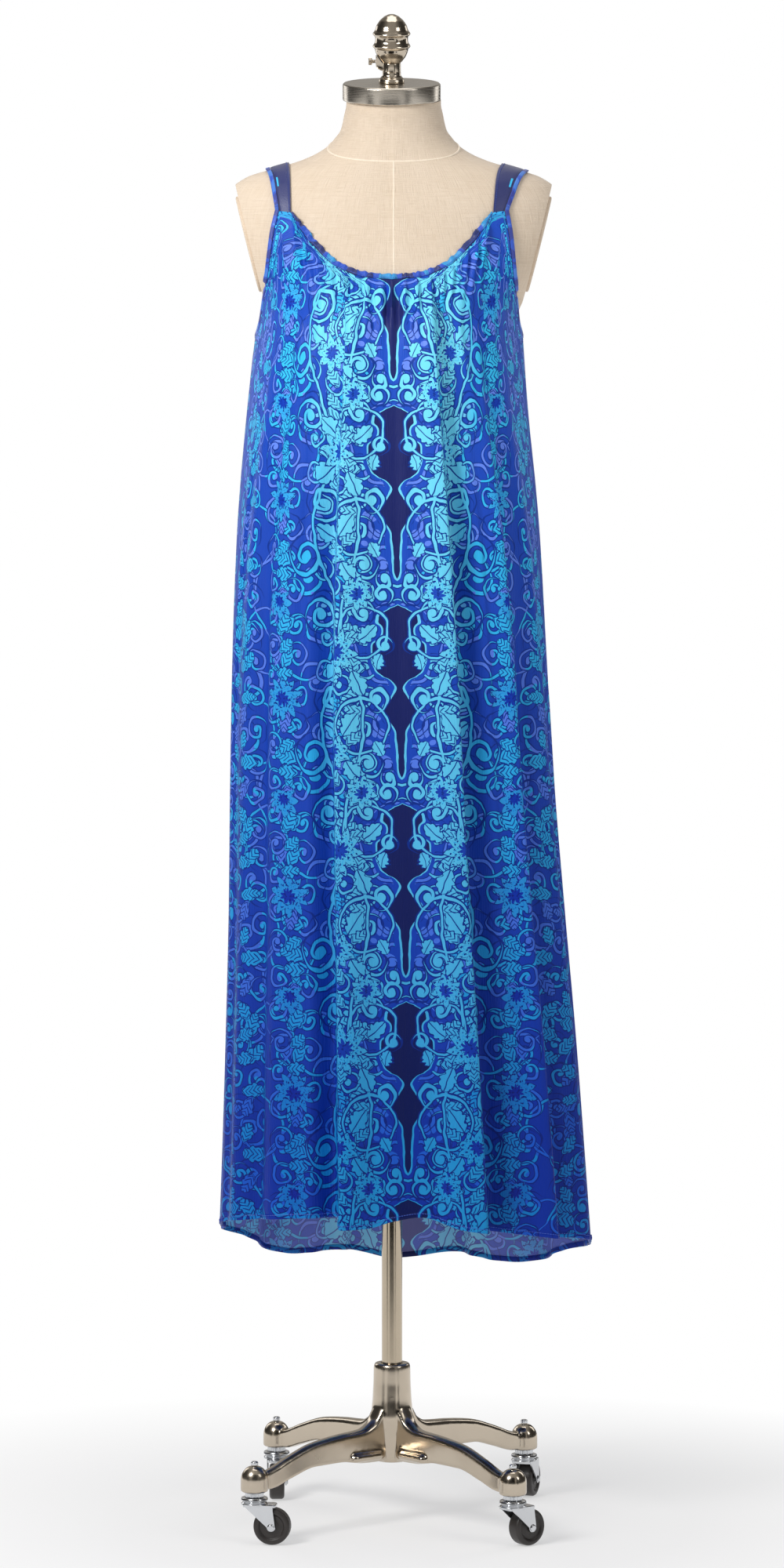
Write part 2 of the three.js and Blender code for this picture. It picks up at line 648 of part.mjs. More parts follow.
// Gown: half widths to each side and depth to front and back, measured to the cloth's outside.
const GOWN_LEVELS = table(
  ["z", "left", "right", "front", "back", "square"],
  [
    [1660, 188, 188, 98, 96, 1.9],
    [1630, 184, 184, 101, 103, 1.9],
    [1600, 179, 177, 103, 109, 1.9],
    [1570, 174, 171, 110, 112, 1.95],
    [1540, 170, 166, 118.5, 113, 2.05],
    [1510, 168.5, 163, 133, 112, 2.15],
    [1478, 168, 161, 147, 112, 2.25],
    [1440, 172, 163, 152, 113, 2.3],
    [1374, 179, 168, 154, 116, 2.3],
    [1287, 187, 177, 156, 120, 2.3],
    [1229, 191, 182, 157, 123, 2.25],
    [1074, 197, 191, 159, 131, 2.2],
    [919, 200, 200, 161, 138, 2.15],
    [764, 202, 213, 163, 144, 2.1],
    [608, 206, 227, 166, 150, 2.1],
    [452, 211, 239, 169, 156, 2.1],
    [300, 217, 250, 172, 160, 2.1],
  ],
);
const gownLevel = reader(GOWN_LEVELS, "z");

// Where each panel's columns start, from the middle (share 0) out to the side seam (share 1).
// The neckline and the strap's foot are measured across; the armhole as a reach towards the side.
const FRONT_NECK = table(
  ["share", "x", "z"],
  [
    [0, 0, 1538],
    [0.14, 31, 1540.5],
    [0.3, 66, 1553],
    [0.42, 92, 1576],
    [0.52, 113, 1603],
    [NECK_SHARE, 122.5, 1620],
  ],
);
const BACK_NECK = table(
  ["share", "x", "z"],
  [
    [0, 0, 1560],
    [0.14, 31, 1562],
    [0.3, 66, 1571],
    [0.42, 90, 1585],
    [0.52, 109, 1602],
    [NECK_SHARE, 118, 1614],
  ],
);
const FRONT_ARMHOLE = table(
  ["share", "reach", "z"],
  [
    [STRAP_SHARE, 0.75, 1622],
    [0.7, 0.8, 1598],
    [0.8, 0.858, 1562],
    [0.9, 0.925, 1516],
    [0.96, 0.962, 1486],
    [1, 1, UNDERARM_Z],
  ],
);
const BACK_ARMHOLE = table(
  ["share", "reach", "z"],
  [
    [STRAP_SHARE, 0.728, 1616],
    [0.7, 0.785, 1596],
    [0.8, 0.85, 1562],
    [0.9, 0.925, 1516],
    [0.96, 0.962, 1486],
    [1, 1, UNDERARM_Z],
  ],
);

// Height of the hem against the turn round the skirt, from the front middle (0) to the back (180);
// the bust lifts the front.
const HEM = table(
  ["turn", "left", "right"],
  [
    [0, 401, 401],
    [30, 397, 392],
    [60, 388, 368],
    [90, 372, 347],
    [120, 345, 326],
    [150, 318, 308],
    [180, 312, 312],
  ],
);
const hemHeight = reader(HEM, "turn");

// Folds that hang from the gathers to the hem, as shares across a panel. A fold is a ridge
// with a wide and a narrow flank; depth grows from the neckline to the hem.
const FRONT_FOLDS = table(
  ["top", "hem", "leftWidth", "rightWidth", "start", "topDepth", "hemDepth"],
  [
    [-0.24, -0.175, 0.05, 0.16, 0.04, 6, 17],
    [0.22, 0.285, 0.2, 0.055, 0.04, 6, 19],
    [0.5, 0.55, 0.1, 0.06, 0.25, 3, 20],
    [0.72, 0.79, 0.1, 0.09, 0.3, 0, 12],
    [-0.5, -0.46, 0.1, 0.12, 0.1, 2, 9],
    [-0.72, -0.7, 0.09, 0.1, 0.2, 0, 8],
  ],
);
const BACK_FOLDS = table(
  ["top", "hem", "leftWidth", "rightWidth", "start", "topDepth", "hemDepth"],
  [
    [-0.72, -0.75, 0.1, 0.09, 0.25, 0, 14],
    [-0.42, -0.46, 0.13, 0.07, 0.06, 4, 19],
    [-0.1, -0.13, 0.08, 0.13, 0.04, 5, 16],
    [0.18, 0.21, 0.14, 0.08, 0.05, 5, 20],
    [0.46, 0.5, 0.08, 0.12, 0.1, 3, 18],
    [0.74, 0.77, 0.09, 0.09, 0.3, 0, 12],
  ],
);

function panelPlan(facing, neckRows, armholeRows, folds) {
  return { facing, neck: reader(neckRows, "share"), armhole: reader(armholeRows, "share"), folds };
}
const FRONT = panelPlan(-1, FRONT_NECK, FRONT_ARMHOLE, FRONT_FOLDS);
const BACK = panelPlan(1, BACK_NECK, BACK_ARMHOLE, BACK_FOLDS);

function topPoint(panel, share) {
  const side = share < 0 ? -1 : 1;
  const at = Math.abs(share);
  if (at <= NECK_SHARE) return { x: side * panel.neck(at, "x"), z: panel.neck(at, "z") };
  const widthName = side < 0 ? "left" : "right";
  const onArmhole = Math.max(at, STRAP_SHARE);
  const z = panel.armhole(onArmhole, "z");
  const x = panel.armhole(onArmhole, "reach") * gownLevel(z, widthName);
  const foot = Math.min((at - NECK_SHARE) / (STRAP_SHARE - NECK_SHARE), 1);
  return {
    x: side * THREE.MathUtils.lerp(panel.neck(NECK_SHARE, "x"), x, foot),
    z: THREE.MathUtils.lerp(panel.neck(NECK_SHARE, "z"), z, foot),
  };
}

function foldDepth(panel, share, drop) {
  return panel.folds.reduce((sum, fold) => {
    const centre = THREE.MathUtils.lerp(fold.top, fold.hem, drop);
    const width = share < centre ? fold.leftWidth : fold.rightWidth;
    const reach = Math.abs(share - centre) / width;
    if (reach >= 1) return sum;
    const depth = THREE.MathUtils.lerp(fold.topDepth, fold.hemDepth, Math.pow(drop, FOLD_GROWTH));
    const grown = smoothstep(0, fold.start, drop);
    return sum + depth * grown * 0.5 * (1 + Math.cos(Math.PI * reach));
  }, 0);
}

function gatherDepth(panel, share, below) {
  const at = Math.abs(share) / NECK_SHARE;
  if (at > 1) return 0;
  const fade = Math.pow(1 - smoothstep(0, GATHER_REACH, below), GATHER_FADE);
  const uneven = 0.7 + 0.3 * Math.sin(9.7 * share + 1.3);
  const ends = smoothstep(0, 0.12, 1 - at);
  return GATHER_DEPTH * uneven * ends * fade * 0.5 * (1 + Math.cos(GATHERS * Math.PI * at));
}

// A point of the cloth's outside, for a share across the panel and a way down it from the
// top edge (0) to the hem (1).
function clothPoint(panel, share, down) {
  const top = topPoint(panel, share);
  const side = Math.sign(share) || 1;
  const widthName = side < 0 ? "left" : "right";
  const turn = 90 * Math.abs(share);
  const hemZ = hemHeight(panel.facing < 0 ? turn : 180 - turn, widthName);
  const z = THREE.MathUtils.lerp(top.z, hemZ, down);
  const below = top.z - z;
  const half = gownLevel(z, widthName);
  const hemShare = Math.sin(degrees(turn));
  const topShare = Math.min(Math.abs(top.x) / gownLevel(top.z, widthName), 1);
  const spread = smoothstep(0, COLUMN_SPREAD, below);
  const across = THREE.MathUtils.lerp(topShare, hemShare, spread);
  const square = gownLevel(z, "square");
  const round = Math.pow(Math.max(1 - Math.pow(across, square), 0), 1 / square);
  const x = side * across * half;
  let depth = gownLevel(z, panel.facing < 0 ? "front" : "back") * round;
  if (z > FORM_BOTTOM_Z) {
    const skin = formDepth(x - FORM_CENTRE_X, z, panel.facing < 0)
      + (CLOTH_TO_FORM + CLOTH) / Math.max(round, LEAST_SLOPE);
    const pull = skin > depth ? skin - depth : 0;
    depth += pull * Math.min(1, round * 4);
  }
  const drop = (FOLD_TOP_Z - z) / (FOLD_TOP_Z - FOLD_END_Z);
  const push = foldDepth(panel, share, THREE.MathUtils.clamp(drop, 0, 1)) + gatherDepth(panel, share, below);
  const outX = side * across;
  const outY = panel.facing * Math.max(round, LEAST_FACING);
  const length = Math.hypot(outX, outY);
  return new THREE.Vector3(x + (push * outX) / length, panel.facing * depth + (push * outY) / length, z);
}

function clothNormal(panel, share, down) {
  const step = 0.004;
  const low = Math.max(share - step, -1);
  const high = Math.min(share + step, 1);
  const across = clothPoint(panel, high, down).sub(clothPoint(panel, low, down));
  const upper = Math.max(down - 0.002, 0);
  const fall = clothPoint(panel, share, upper + 0.004).sub(clothPoint(panel, share, upper));
  const normal = across.cross(fall).normalize();
  if (normal.y * panel.facing < 0 && Math.abs(share) < 0.9) normal.negate();
  if (Math.abs(share) >= 0.9 && normal.x * share < 0) normal.negate();
  if (Math.abs(share) > 0.995) normal.set(Math.sign(share), 0, 0);
  return normal;
}

function spaced(count, from, to) {
  return Array.from({ length: count + 1 }, (unused, i) => from + ((to - from) * i) / count);
}

const FINE_ROWS = [0, 0.018, 0.045];
const PLAIN_ROWS = [0.085, 0.16, 0.27, 0.4, 0.55, 0.7, 0.85, 1];

function buildPanel(panel) {
  const rowShares = (down) => spaced(down > 0.07 ? HALF_COLUMNS : 2 * HALF_COLUMNS, -1, 1);
  const downs = [...FINE_ROWS, ...PLAIN_ROWS];
  const seam = new THREE.Vector3(0, (panel.facing * SEAM_GAP) / 2, 0);
  const outer = downs.map((down) => rowShares(down)
    .map((share) => clothPoint(panel, share, down).add(seam)));
  const inner = downs.map((down, i) => rowShares(down)
    .map((share, k) => outer[i][k].clone().addScaledVector(clothNormal(panel, share, down), -CLOTH)));
  return wall(outer, inner);
}

add("gown_front", buildPanel(FRONT), "satin");
add("gown_back", buildPanel(BACK), "satin");

// Straps lie on the shoulders. Their edges are measured across from the gown's middle, along
// the way from the strap's foot on the front (0) over the shoulder to its foot on the back (1).
const STRAPS = table(
  ["way", "leftInner", "leftOuter", "rightInner", "rightOuter"],
  [
    [0, 123.5, 136.6, 123.5, 136.6],
    [0.2, 124.5, 142.5, 127, 149],
    [0.45, 127, 149.5, 135, 162],
    [0.6, 126, 148.5, 134, 160],
    [0.8, 122.5, 142, 127, 148],
    [1, 119, 131.8, 119, 131.8],
  ],
);
const strapEdge = reader(STRAPS, "way");
const SHOULDER_PIVOT_Z = 1600;
const STRAP_LIFT = 1.2;

// The point where a ray from inside the shoulder meets the form's skin. Turn 0 points to the
// front, 90 degrees up, 180 degrees to the back.
function skinPoint(x, turn, lift) {
  const direction = new THREE.Vector3(0, -Math.cos(turn), Math.sin(turn));
  let low = 0;
  let high = 200;
  for (let i = 0; i < 40; i += 1) {
    const reach = (low + high) / 2;
    const y = direction.y * reach;
    const z = SHOULDER_PIVOT_Z + direction.z * reach;
    const across = x - FORM_CENTRE_X;
    const inside = Math.abs(across) < formLevel(z, "half") && Math.abs(y) < formDepth(across, z, y < 0);
    if (inside) low = reach;
    else high = reach;
  }
  return new THREE.Vector3(x, 0, SHOULDER_PIVOT_Z).addScaledVector(direction, low + lift);
}

// The turn at which the skin reaches a given height, on the front or the back.
function turnAtHeight(x, z, toFront) {
  let low = 0;
  let high = Math.PI / 2;
  for (let i = 0; i < 30; i += 1) {
    const turn = (low + high) / 2;
    const height = skinPoint(x, toFront ? turn : Math.PI - turn, STRAP_LIFT).z;
    if (height < z) low = turn;
    else high = turn;
  }
  return toFront ? low : Math.PI - low;
}

function strapPoint(side, way, edge, lift) {
  const name = side < 0 ? "left" : "right";
  const inner = strapEdge(way, `${name}Inner`);
  const outer = strapEdge(way, `${name}Outer`);
  const x = side * THREE.MathUtils.lerp(inner, outer, edge);
  const start = turnAtHeight(x, STRAP_FOOT_FRONT_Z, true);
  const end = turnAtHeight(x, STRAP_FOOT_BACK_Z, false);
  return skinPoint(x, THREE.MathUtils.lerp(start, end, way), lift);
}

// A binding runs beside an edge. Each station has a point on the edge, the way out of the
// cloth and the way on past the edge.
function edgeStation(panel, share, [from, to]) {
  if (Math.abs(share) === 1) {
    const seam = clothPoint(panel, share, 0);
    seam.y = 0;
    return { point: seam, out: new THREE.Vector3(share, 0, 0), past: new THREE.Vector3(0, 0, 1) };
  }
  const low = clothPoint(panel, Math.max(share - EDGE_STEP, from), 0);
  const high = clothPoint(panel, Math.min(share + EDGE_STEP, to), 0);
  const along = high.sub(low).normalize();
  const out = clothNormal(panel, share, 0);
  out.addScaledVector(along, -out.dot(along)).normalize();
  const past = new THREE.Vector3().crossVectors(out, along).normalize();
  const down = clothPoint(panel, share, 0.03).sub(clothPoint(panel, share, 0));
  if (past.dot(down) > 0) past.negate();
  return { point: clothPoint(panel, share, 0), out, past };
}

function strapStation(side, way) {
  const point = strapPoint(side, way, 1, STRAP_LIFT + STRAP_THICKNESS);
  const inner = strapPoint(side, way, 0.8, STRAP_LIFT + STRAP_THICKNESS);
  const along = strapPoint(side, Math.min(way + 0.02, 1), 1, STRAP_LIFT)
    .sub(strapPoint(side, Math.max(way - 0.02, 0), 1, STRAP_LIFT)).normalize();
  const past = point.clone().sub(inner);
  past.addScaledVector(along, -past.dot(along)).normalize();
  const out = new THREE.Vector3().crossVectors(along, past).normalize();
  const upright = point.clone().sub(new THREE.Vector3(point.x, 0, SHOULDER_PIVOT_Z));
  if (out.dot(upright) < 0) out.negate();
  return { point, out, past };
}

function bindingRing({ point, out, past }, width, rise) {
  const corner = (beyond, high) => point.clone().addScaledVector(past, beyond).addScaledVector(out, high);
  const low = rise - BINDING_THICKNESS;
  return [corner(EDGE_GAP, low), corner(EDGE_GAP, rise), corner(EDGE_GAP + width, rise),
    corner(EDGE_GAP + width, low)];
}

function buildStrap(side) {
  return loft(spaced(STRAP_STEPS, 0, 1).map((way) => {
    const { point, out } = strapStation(side, way);
    const inner = strapPoint(side, way, 0, STRAP_LIFT + STRAP_THICKNESS);
    return [inner, point, point.clone().addScaledVector(out, -STRAP_THICKNESS),
      inner.clone().addScaledVector(out, -STRAP_THICKNESS)];
  }));
}

function buildNeckBinding(panel) {
  const span = [-NECK_SHARE, NECK_SHARE];
  return loft(spaced(NECK_BINDING_STEPS, ...span)
    .map((share) => bindingRing(edgeStation(panel, share, span), BINDING_WIDTH, BINDING_RISE)));
}

function buildArmholeBinding(side) {
  const span = side > 0 ? [STRAP_SHARE, 1] : [-1, -STRAP_SHARE];
  const shares = spaced(ARMHOLE_STEPS, STRAP_SHARE, 1).map((share) => side * share);
  const stations = [
    ...shares.map((share) => edgeStation(FRONT, share, span)),
    ...shares.slice(0, -1).reverse().map((share) => edgeStation(BACK, share, span)),
    ...spaced(STRAP_STEPS, 0.04, 0.96).reverse().map((way) => strapStation(side, way)),
  ];
  return loopLoft(stations.map((station) => bindingRing(station, TRIM_WIDTH, BINDING_RISE)));
}

add("neck_binding_front", buildNeckBinding(FRONT), "binding");
add("neck_binding_back", buildNeckBinding(BACK), "binding");
for (const [name, side] of [["left", -1], ["right", 1]]) {
  add(`strap_${name}`, buildStrap(side), "navyStrap");
  add(`armhole_binding_${name}`, buildArmholeBinding(side), "binding");
}

group.position.x = -BOX_MIDDLE_X;

export default group;
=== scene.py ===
# %% [markdown]
# A printed satin gown on a linen dress form. The gown is two wide panels of satin, gathered
# into a bound neckline, with two short straps; it hangs free from the bust to the hem.
# The form stands on a nickel mast in a cast base with four casters. The construction model
# gives every size and place, so each piece here is made in its numbers, in millimetres,
# and turned to metres at the last step.

# %% The frame and the tools
import math

import bmesh
import bpy
import numpy as np
from mathutils import Matrix, Vector


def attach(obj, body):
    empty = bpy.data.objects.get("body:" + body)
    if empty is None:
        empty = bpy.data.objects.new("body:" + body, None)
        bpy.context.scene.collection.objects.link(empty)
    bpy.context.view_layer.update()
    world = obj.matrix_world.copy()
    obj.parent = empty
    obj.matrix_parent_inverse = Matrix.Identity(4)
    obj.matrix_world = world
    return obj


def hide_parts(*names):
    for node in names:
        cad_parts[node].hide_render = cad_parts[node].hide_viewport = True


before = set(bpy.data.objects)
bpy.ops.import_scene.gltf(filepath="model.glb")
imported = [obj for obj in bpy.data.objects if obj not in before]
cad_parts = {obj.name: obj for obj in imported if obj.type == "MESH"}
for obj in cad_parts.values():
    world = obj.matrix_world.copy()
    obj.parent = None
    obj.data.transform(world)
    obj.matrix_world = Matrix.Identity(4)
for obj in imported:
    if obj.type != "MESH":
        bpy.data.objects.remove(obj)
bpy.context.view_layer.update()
MM = 0.001
MAST_AXIS_X = -16

# %% [markdown]
# A few helpers serve the whole lesson. Colours are written as sRGB hex, the way a dyer's card
# or a picture gives them, and Blender's sockets want linear light, so one function converts.
# Another adds any shader node with its settings and links. The rest turn points and faces
# into a piece that rides on its body and stands for the plain solid it refines.

# %% Helpers for colour, nodes and pieces


def linear(hex_colour):
    channels = [int(hex_colour[i : i + 2], 16) / 255 for i in (1, 3, 5)]
    return tuple(c / 12.92 if c <= 0.04045 else ((c + 0.055) / 1.055) ** 2.4 for c in channels) + (1,)


def node(tree, kind, *inputs, out=0, named=None, **settings):
    """Adds a node, gives it settings, fills or links its inputs and returns one output.

    A kind in capitals is the operation of a math node, which keeps formulas short.
    """
    if kind.isupper():
        kind, settings = "Math", {"operation": kind}
    made = tree.nodes.new("ShaderNode" + kind)
    for name, value in settings.items():
        setattr(made, name, value)
    for key, value in [*enumerate(inputs), *(named or {}).items()]:
        if isinstance(value, bpy.types.NodeSocket):
            tree.links.new(value, made.inputs[key])
        elif value is not None:
            made.inputs[key].default_value = value
    return made.outputs[out] if made.outputs else made


def new_material(name, colour):
    material = bpy.data.materials.new(name)
    material.use_nodes = True
    material.node_tree.nodes.clear()
    material.diffuse_color = linear(colour)
    return material, material.node_tree


def close_material(tree, shader, bump_height=None, bump_depth=0.0):
    """Ends a material: the shader's Normal takes a bump whose depth is in metres."""
    if bump_height is not None:
        normal = node(tree, "Bump", named={"Height": bump_height, "Distance": bump_depth})
        tree.links.new(normal, shader.node.inputs["Normal"])
    node(tree, "OutputMaterial", shader)


def paint(tree, under, colour, mask):
    """Lays one colour over another where the mask is one."""
    return node(tree, "Mix", data_type="RGBA", out=2, named={0: mask, 6: under, 7: colour})


def to_metres(points):
    return (np.asarray(points, float) + (MAST_AXIS_X, 0, 0)) * MM


def piece(name, points, faces, material, body, replaced=(), slot=None, sharp=0.7):
    mesh = bpy.data.meshes.new(name)
    mesh.from_pydata([tuple(p) for p in to_metres(points)], [], faces)
    mesh.materials.append(material)
    made = bpy.data.objects.new(name, mesh)
    bpy.context.scene.collection.objects.link(made)
    return settle(made, body, replaced, sharp)


def settle(made, body, replaced=(), sharp=0.7):
    shade(made.data, sharp)
    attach(made, body)
    if replaced:
        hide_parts(*replaced)
    return made


def shade(mesh, sharp):
    bm = bmesh.new()
    bm.from_mesh(mesh)
    bmesh.ops.recalc_face_normals(bm, faces=bm.faces)
    bm.to_mesh(mesh)
    bm.free()
    mesh.polygons.foreach_set("use_smooth", [True] * len(mesh.polygons))
    mesh.set_sharp_from_angle(angle=sharp)


def grid_faces(rows, columns, start=0, around=False):
    """Quads between rows of points that follow each other in one list."""
    faces = []
    for r in range(rows - 1):
        for c in range(columns if around else columns - 1):
            a = start + r * columns + c
            b = start + r * columns + (c + 1) % columns
            faces.append((a, b, b + columns, a + columns))
    return faces


def lofted(rings, closed_on_itself=False):
    """Points and faces of a solid through section rings, with flat ends unless it is a loop."""
    count, size = len(rings), len(rings[0])
    points = np.concatenate(rings)
    faces = grid_faces(count, size, around=True)
    if closed_on_itself:
        last = (count - 1) * size
        faces += [(last + c, last + (c + 1) % size, (c + 1) % size, c) for c in range(size)]
    else:
        faces.append(tuple(reversed(range(size))))
        faces.append(tuple(range((count - 1) * size, count * size)))
    return points, faces


def joined(parts):
    """Several (points, faces) pairs as one."""
    points, faces, start = [], [], 0
    for part_points, part_faces in parts:
        points.append(np.asarray(part_points, float))
        faces += [tuple(i + start for i in face) for face in part_faces]
        start += len(part_points)
    return np.concatenate(points), faces


def moved(part, matrix):
    points, faces = part
    turn = np.array(matrix, float)
    return np.asarray(points) @ turn[:3, :3].T + turn[:3, 3], faces


# %% [markdown]
# The camera looks slightly down from seven metres with a long lens, as a catalogue picture of
# a whole garment is taken, so the figure keeps its proportions. The light is one broad source
# high on the left, a weaker one on the right, two behind and one above, which is what makes
# satin glow along its folds. Dark cards that only reflections see draw the streaks in polished
# metal. The floor glows a little more with distance, so that it melts into the white behind.

# %% Camera, floor and light
CAMERA_PLACE = (-0.016, -7.200, 1.390)
CAMERA_DIP_DEG = 3.74
LENS_MM = 134.1
SENSOR_MM = 36

camera = bpy.data.objects.new("camera", bpy.data.cameras.new("camera"))
camera.location = CAMERA_PLACE
camera.rotation_euler = (math.radians(90 - CAMERA_DIP_DEG), 0, 0)
camera.data.lens = LENS_MM
camera.data.sensor_width = SENSOR_MM
camera.data.clip_end = 60
bpy.context.scene.collection.objects.link(camera)
bpy.context.scene.camera = camera
bpy.context.scene.view_settings.view_transform = "Standard"

FLOOR_RADIUS_M = 9
FLOOR_DROP_M = 0.0005
FLOOR_FADE_M = (0.36, 0.95)
FLOOR_GLOW = (0.47, 1.0)
WORLD_FELT = 0.3
# how far to the side a reflection looks, and the light it finds there
WALL_ASIDE = (0.3, 0.75)
WALL_LIGHT = (0.42, 0.05)


def studio_floor():
    bm = bmesh.new()
    bmesh.ops.create_circle(bm, cap_ends=True, segments=96, radius=FLOOR_RADIUS_M)
    mesh = bpy.data.meshes.new("floor")
    bm.to_mesh(mesh)
    bm.free()
    floor = bpy.data.objects.new("floor", mesh)
    floor.location.z = -FLOOR_DROP_M
    bpy.context.scene.collection.objects.link(floor)
    material, tree = new_material("pale painted floor", "#f4f3f2")
    place = node(tree, "TexCoord", out="Object")
    reach = node(tree, "VectorMath", place, operation="LENGTH", out="Value")
    fade = node(tree, "MapRange", reach, *FLOOR_FADE_M, *FLOOR_GLOW)
    matt = node(tree, "BsdfDiffuse", linear("#f3f1ef"))
    glow = node(tree, "Emission", linear("#ffffff"), 1.0)
    node(tree, "OutputMaterial", node(tree, "MixShader", fade, matt, glow))
    mesh.materials.append(material)


def studio_world():
    """White to the camera. Polished metal sees dark walls at both sides of a paler room."""
    world = bpy.data.worlds.new("studio")
    bpy.context.scene.world = world
    world.use_nodes = True
    tree = world.node_tree
    tree.nodes.clear()
    seen = node(tree, "Background", linear("#ffffff"), 1.0)
    felt = node(tree, "Background", linear("#eef1f6"), WORLD_FELT)
    way = node(tree, "SeparateXYZ", node(tree, "TexCoord", out="Generated"))
    aside = node(tree, "ABSOLUTE", way)
    wall = node(tree, "MapRange", aside, *WALL_ASIDE, *WALL_LIGHT)
    mirrored = node(tree, "Background", linear("#f6f2ec"), wall)
    rays = node(tree, "LightPath", out="Is Camera Ray")
    soft = node(tree, "MixShader", rays.node.outputs["Is Glossy Ray"], felt, mirrored)
    node(tree, "OutputWorld", node(tree, "MixShader", rays, soft, seen))


# name, place in metres, width and height in metres, watts
SOFTBOXES = [
    ("key", (-2.0, -2.3, 2.7), (1.2, 1.2), 90),
    ("fill", (2.5, -2.4, 2.5), (1.4, 1.6), 24),
    ("back_left", (-2.4, 2.8, 2.0), (1.2, 2.0), 13),
    ("back_right", (2.6, 2.4, 2.2), (1.2, 2.0), 12),
    ("top", (0.0, 0.0, 3.6), (1.6, 1.6), 16),
]
LIGHT_AIM = Vector((0, 0, 1.0))


def softbox(name, place, size, watts):
    light = bpy.data.lights.new(name, "AREA")
    light.shape = "RECTANGLE"
    light.size, light.size_y = size
    light.energy = watts
    box = bpy.data.objects.new(name, light)
    box.location = place
    box.rotation_euler = (LIGHT_AIM - Vector(place)).to_track_quat("-Z", "Y").to_euler()
    bpy.context.scene.collection.objects.link(box)


# place in metres, width and height in metres
DARK_CARDS = [
    ((-1.5, -1.1, 0.8), (0.5, 2.2)),
    ((1.25, -1.6, 0.9), (0.45, 2.2)),
    ((0.9, 1.7, 0.9), (0.6, 2.2)),
    ((-0.08, -1.3, 0.7), (1.2, 1.3)),
]


def dark_card(number, place, size):
    half_w, half_h = size[0] / 2, size[1] / 2
    corners = [(-half_w, -half_h, 0), (half_w, -half_h, 0), (half_w, half_h, 0), (-half_w, half_h, 0)]
    mesh = bpy.data.meshes.new(f"card_{number}")
    mesh.from_pydata(corners, [], [(0, 1, 2, 3)])
    material, tree = new_material(f"black card {number}", "#0c0c0d")
    node(tree, "OutputMaterial", node(tree, "BsdfDiffuse", linear("#0c0c0d")))
    mesh.materials.append(material)
    card = bpy.data.objects.new(f"card_{number}", mesh)
    card.location = place
    facing = Vector((place[0], place[1], 0))
    card.rotation_euler = facing.to_track_quat("Z", "Y").to_euler()
    card.visible_camera = False
    card.visible_diffuse = False
    card.visible_shadow = False
    bpy.context.scene.collection.objects.link(card)


studio_floor()
studio_world()
for name, place, size, watts in SOFTBOXES:
    softbox(name, place, size, watts)
for number, (place, size) in enumerate(DARK_CARDS):
    dark_card(number, place, size)
print(len(SOFTBOXES), "softboxes and", len(DARK_CARDS), "cards")

# %% [markdown]
# Both the form and the gown are described by level sections: a short table of heights with
# half widths, depths and how square the section is. A smooth curve through each column gives
# every level between them. The curve is monotone between rows, so it never swings past a
# measured width.

# %% Reading a short table as smooth curves


def table(names, rows):
    return {name: np.array([row[i] for row in rows], float) for i, name in enumerate(names.split())}


def reader(rows, key):
    order = np.argsort(rows[key])
    places = rows[key][order]
    widths = np.diff(places)

    def read(at, column):
        values = rows[column][order]
        secants = np.diff(values) / widths
        product = secants[:-1] * secants[1:]
        total = np.where(product > 0, secants[:-1] + secants[1:], 1)
        slopes = np.concatenate([secants[:1], np.where(product > 0, 2 * product / total, 0), secants[-1:]])
        x = np.clip(at, places[0], places[-1])
        i = np.clip(np.searchsorted(places, x) - 1, 0, len(widths) - 1)
        t = (x - places[i]) / widths[i]
        rise = (t**3 - 2 * t**2 + t) * slopes[i] + (t**3 - t**2) * slopes[i + 1]
        share = 3 * t**2 - 2 * t**3
        return (1 - share) * values[i] + share * values[i + 1] + widths[i] * rise

    return read


def lerp(a, b, t):
    return a + (b - a) * t


def smoothstep(low, high, x):
    t = np.clip((x - low) / (high - low), 0, 1)
    return t * t * (3 - 2 * t)


FORM_CENTRE_X = 2
FORM_BOTTOM_Z = 1012
BUST_APEX_X = 84
BUST_APEX_Z = 1484
BUST_OUT = 24
BUST_REACH_ASIDE = 46
BUST_REACH_UP = 62
BUST_REACH_DOWN = 50
FORM_LEVELS = table(
    "z half front back square",
    [
        (1775, 58, 58, 50, 2),
        (1755, 58, 58, 50, 2),
        (1742, 60.5, 58, 51, 2),
        (1723, 65, 59, 54, 2),
        (1713, 72, 60, 57, 2),
        (1704, 80, 61, 60, 2),
        (1694, 95, 62, 64, 2),
        (1685, 116, 64, 68, 1.95),
        (1675, 150, 68, 73, 1.9),
        (1666, 179, 72, 77, 1.85),
        (1652, 198, 78, 83, 1.9),
        (1630, 205, 87, 91, 1.95),
        (1600, 203, 97, 98, 1.95),
        (1570, 194, 106, 103, 1.95),
        (1540, 179, 113, 103, 1.95),
        (1510, 157, 118, 101, 2),
        (1484, 148, 119, 98, 2.1),
        (1450, 142, 116, 92, 2.15),
        (1400, 132, 100, 82, 2.15),
        (1350, 121, 90, 74, 2.1),
        (1310, 117, 88, 70, 2.1),
        (1260, 124, 94, 78, 2.1),
        (1200, 141, 102, 96, 2.15),
        (1140, 158, 108, 112, 2.2),
        (1100, 165, 109, 116, 2.25),
        (1050, 166, 108, 112, 2.25),
        (1012, 163, 105, 106, 2.25),
    ],
)
form_level = reader(FORM_LEVELS, "z")


def bust(x, z):
    across = (np.abs(x) - BUST_APEX_X) / BUST_REACH_ASIDE
    up = (z - BUST_APEX_Z) / np.where(z > BUST_APEX_Z, BUST_REACH_UP, BUST_REACH_DOWN)
    return BUST_OUT * np.exp(-across * across - up * up)


def form_depth(x, z, to_front):
    """Depth of the form's skin at a level, for a distance across from its middle."""
    square = form_level(z, "square")
    share = np.minimum(np.abs(x) / form_level(z, "half"), 1)
    round_off = np.maximum(1 - share**square, 0) ** (1 / square)
    front = form_level(z, "front") * round_off + bust(x, z) * np.minimum(1, round_off * 2)
    return np.where(to_front, front, form_level(z, "back") * round_off)


print(len(FORM_LEVELS["z"]), "levels of the form")

